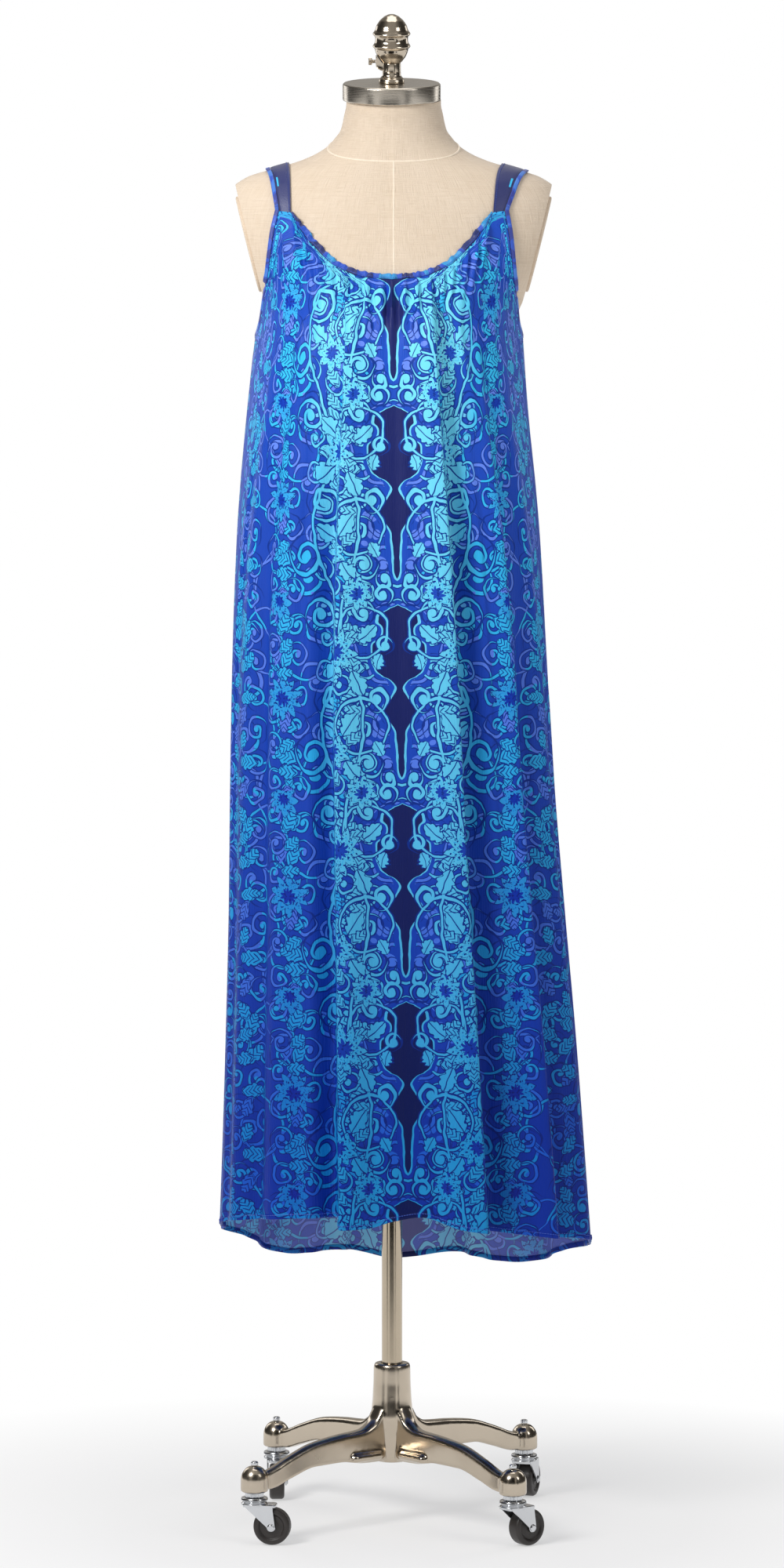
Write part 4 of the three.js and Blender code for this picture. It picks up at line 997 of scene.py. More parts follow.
# %% The gown's sizes
SHARES = 44
NECK_SHARE = 26 / SHARES
STRAP_SHARE = 28 / SHARES
CLOTH = 1.6
CLOTH_TO_FORM = 1.7
UNDERARM_Z = 1468
FOLD_TOP_Z = 1538
FOLD_END_Z = 400
COLUMN_SPREAD = 560
GATHERS = 18
GATHER_DEPTH = 3
GATHER_REACH = 125
GATHER_PUFF = 2.1
SMALL_GATHERS = 31
SMALL_GATHER_DEPTH = 2.1
SMALL_GATHER_REACH = (12, 80)
GOWN_LEVELS = table(
    "z left right front back square",
    [
        (1660, 188, 188, 98, 96, 1.9),
        (1630, 184, 184, 101, 103, 1.9),
        (1600, 179, 177, 103, 109, 1.9),
        (1570, 174, 171, 110, 112, 1.95),
        (1540, 170, 166, 118.5, 113, 2.05),
        (1510, 168.5, 163, 133, 112, 2.15),
        (1478, 168, 161, 147, 112, 2.25),
        (1440, 172, 163, 152, 113, 2.3),
        (1374, 179, 168, 154, 116, 2.3),
        (1287, 187, 177, 156, 120, 2.3),
        (1229, 191, 182, 157, 123, 2.25),
        (1074, 197, 191, 159, 131, 2.2),
        (919, 200, 200, 161, 138, 2.15),
        (764, 202, 213, 163, 144, 2.1),
        (608, 206, 227, 166, 150, 2.1),
        (452, 211, 239, 169, 156, 2.1),
        (300, 217, 250, 172, 160, 2.1),
    ],
)
gown_level = reader(GOWN_LEVELS, "z")
FRONT_NECK = table(
    "share x z",
    [(0, 0, 1538), (0.14, 31, 1540.5), (0.3, 66, 1553), (0.42, 92, 1576), (0.52, 113, 1603),
     (NECK_SHARE, 122.5, 1620)],
)
BACK_NECK = table(
    "share x z",
    [(0, 0, 1560), (0.14, 31, 1562), (0.3, 66, 1571), (0.42, 90, 1585), (0.52, 109, 1602),
     (NECK_SHARE, 118, 1614)],
)
FRONT_ARMHOLE = table(
    "share reach z",
    [(STRAP_SHARE, 0.75, 1622), (0.7, 0.8, 1598), (0.8, 0.858, 1562), (0.9, 0.925, 1516),
     (0.96, 0.962, 1486), (1, 1, UNDERARM_Z)],
)
BACK_ARMHOLE = table(
    "share reach z",
    [(STRAP_SHARE, 0.728, 1616), (0.7, 0.785, 1596), (0.8, 0.85, 1562), (0.9, 0.925, 1516),
     (0.96, 0.962, 1486), (1, 1, UNDERARM_Z)],
)
HEM = table(
    "turn left right",
    [(0, 401, 401), (30, 397, 392), (60, 388, 368), (90, 372, 347), (120, 345, 326), (150, 318, 308),
     (180, 312, 312)],
)
hem_height = reader(HEM, "turn")
# how far the folds lift the hem, across each panel
FRONT_RIPPLE = table("share up", [(-1, 0), (-0.32, 3), (-0.215, 3), (-0.17, -9), (-0.09, -9), (0, -2),
                                  (0.1, 5), (0.22, -7), (0.32, -9), (0.55, -5), (0.75, 2), (1, 0)])
BACK_RIPPLE = table("share up", [(-1, 0), (-0.75, 3), (-0.45, -6), (-0.2, 3), (0, -5), (0.2, 4), (0.5, -6),
                                 (0.75, 3), (1, 0)])
FOLD_COLUMNS = "top hem left right start top_depth hem_depth"
FRONT_FOLDS = table(
    FOLD_COLUMNS,
    [
        (-0.24, -0.175, 0.022, 0.16, 0.04, 8, 23),
        (0.22, 0.285, 0.2, 0.028, 0.04, 12, 25),
        (0.5, 0.55, 0.1, 0.04, 0.25, 3, 22),
        (0.72, 0.79, 0.1, 0.09, 0.3, 0, 12),
        (-0.5, -0.46, 0.1, 0.12, 0.1, 2, 9),
        (-0.72, -0.7, 0.09, 0.1, 0.2, 0, 8),
    ],
)
BACK_FOLDS = table(
    FOLD_COLUMNS,
    [
        (-0.72, -0.75, 0.1, 0.09, 0.25, 0, 14),
        (-0.42, -0.46, 0.13, 0.05, 0.06, 4, 19),
        (-0.1, -0.13, 0.06, 0.13, 0.04, 5, 16),
        (0.18, 0.21, 0.14, 0.06, 0.05, 5, 20),
        (0.46, 0.5, 0.06, 0.12, 0.1, 3, 18),
        (0.74, 0.77, 0.09, 0.09, 0.3, 0, 12),
    ],
)
print(len(FRONT_FOLDS["top"]) + len(BACK_FOLDS["top"]), "large folds")

# %% [markdown]
# Between the large folds satin carries smaller ones, from deep troughs beside a fold to marks
# of two millimetres. Each row below is one crease: where it starts and ends across the panel
# and in height, its two flanks and its depth, a ridge where positive and a trough where
# negative. They are uneven on purpose. The back, which the picture hides, gets creases of the
# same kind in other places.

# %% Creases, one by one
CREASE_COLUMNS = "top bottom high low left right depth"
FRONT_CREASES = table(
    CREASE_COLUMNS,
    [
        (-0.33, -0.30, 1290, 400, 0.05, 0.06, 3.2),
        (-0.40, -0.38, 1420, 900, 0.035, 0.04, -2.0),
        (-0.60, -0.58, 1380, 380, 0.06, 0.07, -7.0),
        (-0.86, -0.84, 1420, 380, 0.06, 0.05, 3.5),
        (-0.93, -0.95, 1200, 380, 0.03, 0.03, -2.0),
        (-0.13, -0.10, 1520, 980, 0.03, 0.045, 1.8),
        (0.05, 0.08, 1510, 860, 0.05, 0.05, 2.2),
        (0.01, -0.02, 780, 390, 0.06, 0.06, 2.6),
        (0.14, 0.15, 860, 390, 0.04, 0.05, -2.8),
        (0.285, 0.345, 1530, 380, 0.045, 0.12, -20.0),
        (-0.29, -0.225, 1500, 380, 0.1, 0.04, -15.0),
        (0.40, 0.43, 1380, 700, 0.035, 0.03, 2.2),
        (0.62, 0.66, 1240, 350, 0.07, 0.05, -9.0),
        (0.88, 0.90, 1300, 350, 0.06, 0.05, 3.0),
        (-0.38, -0.50, 1520, 1330, 0.04, 0.05, 2.4),
        (0.36, 0.47, 1520, 1350, 0.04, 0.04, 2.2),
        (-0.47, -0.62, 1500, 1300, 0.04, 0.05, -2.0),
        (0.55, 0.66, 1480, 1290, 0.05, 0.04, -2.0),
        (-0.24, -0.235, 1530, 1300, 0.10, 0.02, 1.5),
    ],
)
BACK_CREASES = table(
    CREASE_COLUMNS,
    [
        (-0.58, -0.60, 1400, 330, 0.05, 0.05, -3.6),
        (-0.88, -0.86, 1380, 340, 0.05, 0.05, 3.0),
        (-0.28, -0.31, 1500, 320, 0.04, 0.05, -4.6),
        (-0.02, -0.02, 1300, 320, 0.05, 0.05, -3.0),
        (0.05, 0.07, 1480, 900, 0.04, 0.05, 2.2),
        (0.31, 0.34, 1500, 320, 0.04, 0.05, -4.8),
        (0.38, 0.39, 1350, 600, 0.03, 0.03, 2.0),
        (0.61, 0.63, 1320, 320, 0.05, 0.05, -4.0),
        (0.88, 0.87, 1300, 340, 0.05, 0.05, 3.2),
        (-0.35, -0.45, 1520, 1330, 0.05, 0.04, 2.0),
        (0.42, 0.52, 1520, 1340, 0.04, 0.05, -2.2),
    ],
)


def panel_plan(facing, neck, armhole, folds, creases, ripple):
    return {"facing": facing, "neck": reader(neck, "share"), "armhole": reader(armhole, "share"),
            "folds": folds, "creases": creases, "ripple": reader(ripple, "share")}


FRONT = panel_plan(-1, FRONT_NECK, FRONT_ARMHOLE, FRONT_FOLDS, FRONT_CREASES, FRONT_RIPPLE)
BACK = panel_plan(1, BACK_NECK, BACK_ARMHOLE, BACK_FOLDS, BACK_CREASES, BACK_RIPPLE)
print(len(FRONT_CREASES["top"]) + len(BACK_CREASES["top"]), "creases")

# %% [markdown]
# A point of cloth has two addresses: its share across the panel, from one side seam to the
# other, and its way down from the top edge to the hem. The columns start where the neckline
# and the armhole put them and spread out as they fall. Where the body stands proud of the
# gown's own level, the cloth rests on it. Folds, creases and gathers push it outward.

# %% The cloth's shape


def half_width(z, side):
    return np.where(side < 0, gown_level(z, "left"), gown_level(z, "right"))


def top_edge(panel, share):
    at = np.abs(share)
    side = np.where(share < 0, -1.0, 1.0)
    on_neck_part = np.minimum(at, NECK_SHARE)
    on_armhole = np.maximum(at, STRAP_SHARE)
    armhole_z = panel["armhole"](on_armhole, "z")
    armhole_x = panel["armhole"](on_armhole, "reach") * half_width(armhole_z, side)
    foot = np.clip((at - NECK_SHARE) / (STRAP_SHARE - NECK_SHARE), 0, 1)
    x = lerp(panel["neck"](on_neck_part, "x"), armhole_x, foot)
    return side * x, lerp(panel["neck"](on_neck_part, "z"), armhole_z, foot)


def fold_push(panel, share, drop):
    push = 0 * share
    rows = panel["folds"]
    for i in range(len(rows["top"])):
        centre = lerp(rows["top"][i], rows["hem"][i], drop)
        width = np.where(share < centre, rows["left"][i], rows["right"][i])
        reach = np.minimum(np.abs(share - centre) / width, 1)
        depth = lerp(rows["top_depth"][i], rows["hem_depth"][i], drop**0.8)
        depth = depth * smoothstep(0, rows["start"][i], drop)
        push = push + depth * 0.5 * (1 + np.cos(math.pi * reach))
    return push


def crease_push(panel, share, z):
    push = 0 * share
    rows = panel["creases"]
    for i in range(len(rows["top"])):
        high, low = rows["high"][i], rows["low"][i]
        way = np.clip((high - z) / (high - low), 0, 1)
        centre = lerp(rows["top"][i], rows["bottom"][i], way)
        width = np.where(share < centre, rows["left"][i], rows["right"][i])
        reach = np.minimum(np.abs(share - centre) / width, 1)
        open_end = 1.0 if low < FOLD_END_Z + 10 else smoothstep(0, 0.35, 1 - way)
        depth = rows["depth"][i] * smoothstep(0, 0.3, way) * open_end
        push = push + depth * 0.5 * (1 + np.cos(math.pi * reach))
    return push


def gather_push(share, below):
    """Gathers are deep at the binding and gone a good hand's breadth below it."""
    at = np.minimum(np.abs(share) / NECK_SHARE, 1)
    fade = (1 - smoothstep(0, GATHER_REACH, below)) ** 1.5
    uneven = 0.7 + 0.3 * np.sin(9.7 * share + 1.3)
    ends = smoothstep(0, 0.12, 1 - at)
    puffed = 1 + GATHER_PUFF * smoothstep(0, 18, below)
    large = GATHER_DEPTH * uneven * puffed * (0.5 + 0.5 * np.cos(GATHERS * math.pi * at)) ** 0.6
    small = SMALL_GATHER_DEPTH * (1 + np.cos(SMALL_GATHERS * math.pi * at + 4 * np.sin(7 * share)))
    small = small * smoothstep(0, 10, below) * (1 - smoothstep(*SMALL_GATHER_REACH, below))
    return (large + small) * ends * fade


def cloth_point(panel, share, down):
    share, down = np.broadcast_arrays(np.asarray(share, float), np.asarray(down, float))
    facing = panel["facing"]
    side = np.where(share < 0, -1.0, 1.0)
    top_x, top_z = top_edge(panel, share)
    turn = 90 * np.abs(share)
    round_skirt = turn if facing < 0 else 180 - turn
    hem_z = np.where(side < 0, hem_height(round_skirt, "left"), hem_height(round_skirt, "right"))
    hem_z = hem_z + panel["ripple"](share, "up")
    z = lerp(top_z, hem_z, down)
    below = top_z - z
    top_share = np.minimum(np.abs(top_x) / half_width(top_z, side), 1)
    across = lerp(top_share, np.sin(np.radians(turn)), smoothstep(0, COLUMN_SPREAD, below))
    square = gown_level(z, "square")
    round_off = np.maximum(1 - across**square, 0) ** (1 / square)
    x = side * across * half_width(z, side)
    depth = gown_level(z, "front" if facing < 0 else "back") * round_off
    skin = form_depth(x - FORM_CENTRE_X, z, facing < 0)
    skin = skin + (CLOTH_TO_FORM + CLOTH) / np.maximum(round_off, 0.45)
    pull = np.where(z > FORM_BOTTOM_Z, np.maximum(skin - depth, 0), 0)
    depth = depth + pull * np.minimum(1, round_off * 4)
    drop = np.clip((FOLD_TOP_Z - z) / (FOLD_TOP_Z - FOLD_END_Z), 0, 1)
    push = fold_push(panel, share, drop) + gather_push(share, below)
    push = push + crease_push(panel, share, z)
    out_x, out_y = side * across, facing * np.maximum(round_off, 0.05)
    length = np.hypot(out_x, out_y)
    return np.stack([x + push * out_x / length, facing * depth + push * out_y / length, z], -1)


def unit(vectors):
    return vectors / np.linalg.norm(vectors, axis=-1, keepdims=True)


def cloth_normal(panel, share, down):
    share = np.asarray(share, float)
    low, high = np.maximum(share - 0.004, -1), np.minimum(share + 0.004, 1)
    across = cloth_point(panel, high, down) - cloth_point(panel, low, down)
    upper = np.maximum(down - 0.002, 0)
    fall = cloth_point(panel, share, upper + 0.004) - cloth_point(panel, share, upper)
    normal = unit(np.cross(across, fall))
    wrong = np.where(np.abs(share) < 0.9, normal[..., 1] * panel["facing"] < 0, normal[..., 0] * share < 0)
    normal = np.where(wrong[..., None], -normal, normal)
    seam = np.stack([np.sign(share), 0 * share, 0 * share], -1)
    return np.where((np.abs(share) > 0.995)[..., None], seam, normal)


print("cloth at the front middle", cloth_point(FRONT, 0.0, 0.5))

# %% [markdown]
# The print is a scrollwork of stems, leaves and blossoms in two blues on royal blue, mirrored
# about a chain of waisted navy figures down the middle. It is drawn as signed distances in
# millimetres: each motif gives how far a point lies outside its edge. A minimum of two keeps
# the nearer motif, a maximum cuts one shape by another, and thresholds turn the distance into
# colour, dark outline and ground. A slow noise bends the whole drawing, as a hand would. The
# layout is this lesson's own. It repeats every 240 mm down the cloth, so the noise is read
# round a cylinder of that girth.

# %% A shared node group for the print
PRINT_REPEAT = 240
INK = {
    "navy": "#1a2362",
    "outline": "#0a3590",
    "royal": "#1a4cba",
    "deep": "#1b49b6",
    "periwinkle": "#6486e8",
    "turquoise": "#6fd6f0",
    "cyan": "#34bcec",
}
OUTLINE_MM = 1.7
STEM_HALF_MM = 2.1
LOOP_HALF_MM = 1.3
LEAF_EDGE = [(0, 0), (0.1, 0.34), (0.2, 0.5), (0.26, 0.4), (0.38, 0.66), (0.48, 0.78), (0.54, 0.6),
             (0.66, 0.68), (0.76, 0.6), (0.81, 0.42), (0.92, 0.3), (1, 0)]


def ink(name):
    return linear(INK[name])


def drawn_edge(tree, value, points):
    """A motif's edge drawn as a curve from 0..1 to 0..1 through a few points."""
    made = node(tree, "FloatCurve", 1.0, value)
    line = made.node.mapping.curves[0]
    while len(line.points) < len(points):
        line.points.new(0.5, 0.5)
    for handle, (x, y) in zip(line.points, points):
        handle.location = (x, y)
    made.node.mapping.update()
    return made


def seen_from(tree, place, x, y, turn_deg=0.0, scale=(1, 1, 1)):
    """Coordinates in a motif's own frame."""
    return node(tree, "Mapping", place, vector_type="TEXTURE",
                named={"Location": (x, y, 0), "Rotation": (0, 0, math.radians(turn_deg)), "Scale": scale})


def round_and_out(tree, here):
    """How far out a point lies from a motif's middle, and how far round it from 0 to 1."""
    reach = node(tree, "VectorMath", here, operation="LENGTH", out="Value")
    return reach, node(tree, "TexGradient", here, gradient_type="RADIAL", out="Fac")


def nearest_of(tree, distances):
    """Of several motifs, the nearest wins."""
    nearest, *others = distances
    for other in others:
        nearest = node(tree, "MINIMUM", nearest, other)
    return nearest


def scroll(tree, place, x, y, radius, pitch, turn_deg, handed):
    """A stem that winds in to a round eye."""
    reach, round_it = round_and_out(tree, seen_from(tree, place, x, y, turn_deg, (1, handed, 1)))
    winding = node(tree, "MULTIPLY_ADD", reach, 1 / pitch, round_it)
    stroke = node(tree, "MULTIPLY_ADD", node(tree, "PINGPONG", winding, 0.5), pitch, -STEM_HALF_MM)
    drawn = node(tree, "MINIMUM", stroke, node(tree, "SUBTRACT", reach, pitch * 0.42))
    return node(tree, "MAXIMUM", drawn, node(tree, "SUBTRACT", reach, radius))


def leaf(tree, place, x, y, length, width, turn_deg):
    """A lobed leaf with a dark midrib. Its length runs along its own X."""
    along = node(tree, "SeparateXYZ", seen_from(tree, place, x, y, turn_deg, (length, width, 1)))
    aside = node(tree, "ABSOLUTE", along.node.outputs[1])
    edge = drawn_edge(tree, along, LEAF_EDGE)
    rib = node(tree, "SUBTRACT", 0.05, aside)
    inside = node(tree, "MAXIMUM", node(tree, "SUBTRACT", aside, edge), rib)
    from_middle = node(tree, "ABSOLUTE", node(tree, "SUBTRACT", along, 0.5))
    beyond = node(tree, "SUBTRACT", node(tree, "MULTIPLY", from_middle, length), length / 2)
    return node(tree, "MAXIMUM", node(tree, "MULTIPLY", inside, width), beyond)


def blossom(tree, place, x, y, radius, petals, turn_deg):
    """How far out a point lies in a flower: 0 in its middle, 1 on the petals' edge."""
    reach, round_it = round_and_out(tree, seen_from(tree, place, x, y, turn_deg))
    petal = node(tree, "PINGPONG", node(tree, "MULTIPLY", round_it, petals), 0.5)
    edge = node(tree, "MULTIPLY_ADD", node(tree, "POWER", petal, 0.7), radius * 0.78, radius * 0.5)
    return node(tree, "DIVIDE", reach, edge)


def vine(tree, along, across, middle, swing, phase, half):
    """A stem that wanders down the cloth."""
    course = node(tree, "SINE", node(tree, "MULTIPLY_ADD", along, 2 * math.pi / PRINT_REPEAT, phase))
    off = node(tree, "SUBTRACT", across, node(tree, "MULTIPLY_ADD", course, swing, middle))
    return node(tree, "SUBTRACT", node(tree, "ABSOLUTE", off), half)


def ring(tree, place, x, y, radius):
    """A thin round loop."""
    apart = node(tree, "VectorMath", place, (x, y, 0), operation="DISTANCE", out="Value")
    off = node(tree, "ABSOLUTE", node(tree, "SUBTRACT", apart, radius))
    return node(tree, "SUBTRACT", off, LOOP_HALF_MM)


# %% [markdown]
# The motifs of one half repeat follow, each a row: its place across from the middle and down
# the repeat, its size and its turn. Scrolls, loops, leaves and blossoms drawn one by one carry
# the eye. Between them two columns of foliage are filled by chance, one leaf to a square, and
# curls fill the rest, so no large patch of plain blue is left near the middle. The sides carry
# thinner lines in darker blues. All sizes here are in millimetres.

# %% The print's layout
# across, down, radius, pitch, turn, hand
SCROLLS = [
    (27, 127, 15, 12, 40, 1),
    (40, 207, 17, 13, 200, -1),
    (112, 130, 24, 15, 120, 1),
    (124, 26, 22, 14, 300, -1),
    (142, 196, 24, 15, 60, 1),
    (42, 23, 15, 12, 150, 1),
    (16, 62, 10, 10, 90, 1),
    (15, 224, 11, 10, 250, 1),
    (17, 2, 12, 10, 80, 1),
    (17, 242, 12, 10, 80, 1),
]
# across, down, radius
LOOPS = [(44, 46, 31), (48, 160, 33)]
SIDE_LOOPS = [(150, 66, 38), (222, 60, 40), (236, 172, 38)]
# across, down, length, width, turn
LEAVES = [
    (86, 52, 32, 16, -50),
    (92, 84, 34, 17, 35),
    (58, 94, 32, 16, 112),
    (48, 56, 27, 13, 215),
    (98, 176, 30, 15, -35),
    (70, 202, 28, 14, 130),
    (70, 170, 30, 15, 240),
    (28, 92, 20, 10, 250),
    (22, 196, 22, 10, 300),
]
# across, down, radius, petals, turn
BLOSSOMS = [
    (80, 70, 31, 10, 12),
    (88, 190, 24, 9, 40),
    (182, 128, 28, 10, 0),
    (186, 12, 22, 9, 20),
    (50, 0, 21, 9, 10),
    (50, 240, 21, 9, 10),
]
# middle line, swing to each side, phase, half thickness
VINES = [(58, 13, 0.6, 1.8), (112, 17, 3.4, 1.8)]
SIDE_VINE = (205, 34, 1.4, 1.2)
# half width of the navy figures down one repeat, as shares
FIGURE_EDGE = [(0, 0.02), (0.04, 0.1), (0.08, 0.56), (0.14, 0.84), (0.2, 0.7), (0.26, 0.96), (0.34, 1),
               (0.42, 0.74), (0.47, 0.42), (0.53, 0.5), (0.58, 0.72), (0.64, 0.6), (0.72, 0.42),
               (0.84, 0.4), (0.92, 0.3), (0.97, 0.08), (1, 0.02)]
FIGURE_HALF = 46
FIGURE_PINCH = 14
FIGURE_RIM = 2.4
FIGURE_GROUND = 8.0
SIDE_START, SIDE_END = 104, 140
print(len(SCROLLS), "scrolls,", len(LEAVES), "leaves and", len(BLOSSOMS), "blossoms drawn one by one")

# %% [markdown]
# Foliage and curls are scattered instead. The cloth is split into squares, and a white noise
# gives each square its own number, which turns, shifts and colours what grows there. Each
# column of squares is slid down on the last, so that no rows show across the skirt.

# %% Scattered foliage and curls
FOLIAGE_FIRST = 74
FOLIAGE_APART = 104
VEIN_STEP = 5.5
VEIN_HALF = 0.8
LEAF_FILL = 0.84
COLUMN_SLIDE = 0.38


def shaken_cells(tree, place, cell, skew, shake):
    """A point's place in its own square, shifted by chance, then the square and its number."""
    split = node(tree, "SeparateXYZ", place)
    column = node(tree, "MULTIPLY_ADD", split, 1 / cell, skew)
    slide = node(tree, "MULTIPLY", node(tree, "FLOOR", column), COLUMN_SLIDE * cell)
    slid = node(tree, "ADD", split.node.outputs[1], slide)
    row = node(tree, "MULTIPLY", node(tree, "FLOORED_MODULO", slid, float(PRINT_REPEAT)), 1 / cell)
    grid = node(tree, "CombineXYZ", column, row)
    square = node(tree, "VectorMath", grid, operation="FLOOR")
    inside = node(tree, "VectorMath", grid, operation="FRACTION")
    chance = node(tree, "TexWhiteNoise", square, noise_dimensions="3D", out="Color")
    low = -0.5 - shake / 2
    shift = node(tree, "VectorMath", chance, (shake, shake, 0), (low, low, 0), operation="MULTIPLY_ADD")
    local = node(tree, "VectorMath", inside, shift, operation="ADD")
    which = node(tree, "TexWhiteNoise", square, noise_dimensions="2D", out="Value")
    return node(tree, "VectorMath", local, (cell, cell, 0), operation="MULTIPLY"), square, which


def scattered_curls(tree, place, cell, pitch, half, skew):
    """A curl in each square, wound either way."""
    flat, _, which = shaken_cells(tree, place, cell, skew, 0.2)
    reach, round_it = round_and_out(tree, flat)
    handed = node(tree, "MULTIPLY_ADD", node(tree, "LESS_THAN", which, 0.5), 2.0, -1.0)
    outward = node(tree, "MULTIPLY_ADD", reach, 1 / pitch, which)
    winding = node(tree, "ADD", outward, node(tree, "MULTIPLY", round_it, handed))
    stroke = node(tree, "MULTIPLY_ADD", node(tree, "PINGPONG", winding, 0.5), pitch, -half)
    drawn = node(tree, "MINIMUM", stroke, node(tree, "SUBTRACT", reach, pitch * 0.3))
    return node(tree, "MAXIMUM", drawn, node(tree, "SUBTRACT", reach, cell * 0.39))


def scattered_leaves(tree, place, cell, width, skew, thick):
    """A veined leaf in each square of a column of foliage that is this thick to each side."""
    flat, square, which = shaken_cells(tree, place, cell, skew, 0.16)
    angle = node(tree, "MULTIPLY", which, 2 * math.pi)
    along = node(tree, "SeparateXYZ",
                 node(tree, "VectorRotate", flat, rotation_type="Z_AXIS", named={"Angle": angle}))
    aside = node(tree, "ABSOLUTE", along.node.outputs[1])
    edge = drawn_edge(tree, node(tree, "MULTIPLY_ADD", along, 1 / (LEAF_FILL * cell), 0.5), LEAF_EDGE)
    body = node(tree, "MULTIPLY_ADD", edge, -width, aside)
    beyond = node(tree, "SUBTRACT", node(tree, "ABSOLUTE", along), LEAF_FILL / 2 * cell)
    slanted = node(tree, "MULTIPLY", node(tree, "ADD", along, aside), 1 / VEIN_STEP)
    vein = node(tree, "MULTIPLY_ADD", node(tree, "PINGPONG", slanted, 0.5), -VEIN_STEP, VEIN_HALF)
    cut = node(tree, "MINIMUM", vein, node(tree, "SUBTRACT", width * 0.5, aside))
    leaf_here = node(tree, "MAXIMUM", node(tree, "MAXIMUM", body, beyond), cut)
    middle = (0.5 - skew) * cell - FOLIAGE_FIRST
    centre = node(tree, "MULTIPLY_ADD", node(tree, "SeparateXYZ", square), cell, middle)
    off = node(tree, "PINGPONG", centre, FOLIAGE_APART / 2)
    spare = node(tree, "LESS_THAN", node(tree, "MULTIPLY_ADD", which, 16.0, thick), off)
    return node(tree, "MULTIPLY_ADD", spare, 60.0, leaf_here), which


# %% [markdown]
# Now the layers are drawn and inked, from the ground up. The ground comes first, then the
# thin side lines and curls, the foliage, the navy figures with their pale rim, and last the
# scrolls, leaves and blossoms that lie on top of everything.

# %% Drawing and inking the print
BEND_MM = 10
BEND_SCALE = 0.045


def hand_bent(tree, place):
    """Distance from the middle line and way down the cloth, both bent by the same slow noise."""
    split = node(tree, "SeparateXYZ", place)
    across, down = node(tree, "ABSOLUTE", split), split.node.outputs[1]
    turn = node(tree, "MULTIPLY", down, 2 * math.pi / PRINT_REPEAT)
    radius = PRINT_REPEAT / (2 * math.pi)
    round_y = node(tree, "MULTIPLY", node(tree, "COSINE", turn), radius)
    round_z = node(tree, "MULTIPLY", node(tree, "SINE", turn), radius)
    rolled = node(tree, "CombineXYZ", across, round_y, round_z)
    noise = node(tree, "TexNoise", rolled, named={"Scale": BEND_SCALE, "Detail": 1.0}, out="Color")
    back = BEND_MM / 2
    flat = node(tree, "CombineXYZ", node(tree, "SUBTRACT", across, back), node(tree, "SUBTRACT", down, back))
    return node(tree, "VectorMath", noise, (BEND_MM, BEND_MM, 0), flat, operation="MULTIPLY_ADD")


def print_layers(tree, place):
    """The distances that the colours are made from."""
    bent = hand_bent(tree, place)
    across = node(tree, "SeparateXYZ", bent)
    along = node(tree, "FLOORED_MODULO", across.node.outputs[1], float(PRINT_REPEAT))
    folded = node(tree, "CombineXYZ", across, along)
    stems = [vine(tree, along, across, *row) for row in VINES]
    stems += [scroll(tree, folded, *row) for row in SCROLLS]
    stems += [ring(tree, folded, *row) for row in LOOPS]
    side_lines = [vine(tree, along, across, *SIDE_VINE)]
    side_lines += [ring(tree, folded, *row) for row in SIDE_LOOPS]
    profile = drawn_edge(tree, node(tree, "MULTIPLY", along, 1 / PRINT_REPEAT), FIGURE_EDGE)
    figure_half = node(tree, "MULTIPLY_ADD", profile, FIGURE_HALF, -FIGURE_PINCH)
    return {
        "stems": nearest_of(tree, stems),
        "leaves": nearest_of(tree, [leaf(tree, folded, *row) for row in LEAVES]),
        "flower": nearest_of(tree, [blossom(tree, folded, *row) for row in BLOSSOMS]),
        "figure": node(tree, "SUBTRACT", across, figure_half),
        "fine": scattered_curls(tree, bent, cell=40, pitch=11.0, half=1.5, skew=0.5),
        "bold": scattered_curls(tree, bent, cell=60, pitch=16.0, half=1.7, skew=0.25),
        "under_leaves": scattered_leaves(tree, bent, cell=40, width=12, skew=0.1, thick=18.0),
        "over_leaves": scattered_leaves(tree, bent, cell=30, width=10.5, skew=0.6, thick=12.0),
        "side_lines": nearest_of(tree, side_lines),
        "side": node(tree, "MapRange", across, SIDE_START, SIDE_END, 0.0, 1.0),
        "folded": folded,
    }


def outlined(tree, under, colour, distance, outline=OUTLINE_MM):
    """A motif with its dark outline over what is already there."""
    under = paint(tree, under, ink("outline"), node(tree, "LESS_THAN", distance, outline))
    return paint(tree, under, colour, node(tree, "LESS_THAN", distance, 0.0))


def flower_colours(tree, flower):
    """Heart, ring, petals and their shading, from how far out a point lies in the flower."""
    made = node(tree, "ValToRGB", flower)
    ramp = made.node.color_ramp
    ramp.interpolation = "CONSTANT"
    stops = [(0, "royal"), (0.2, "deep"), (0.28, "royal"), (0.4, "turquoise"), (0.6, "cyan"),
             (0.65, "turquoise")]
    for place, name in stops[2:]:
        ramp.elements.new(place)
    for element, (place, name) in zip(ramp.elements, stops):
        element.position = place
        element.color = ink(name)
    return made


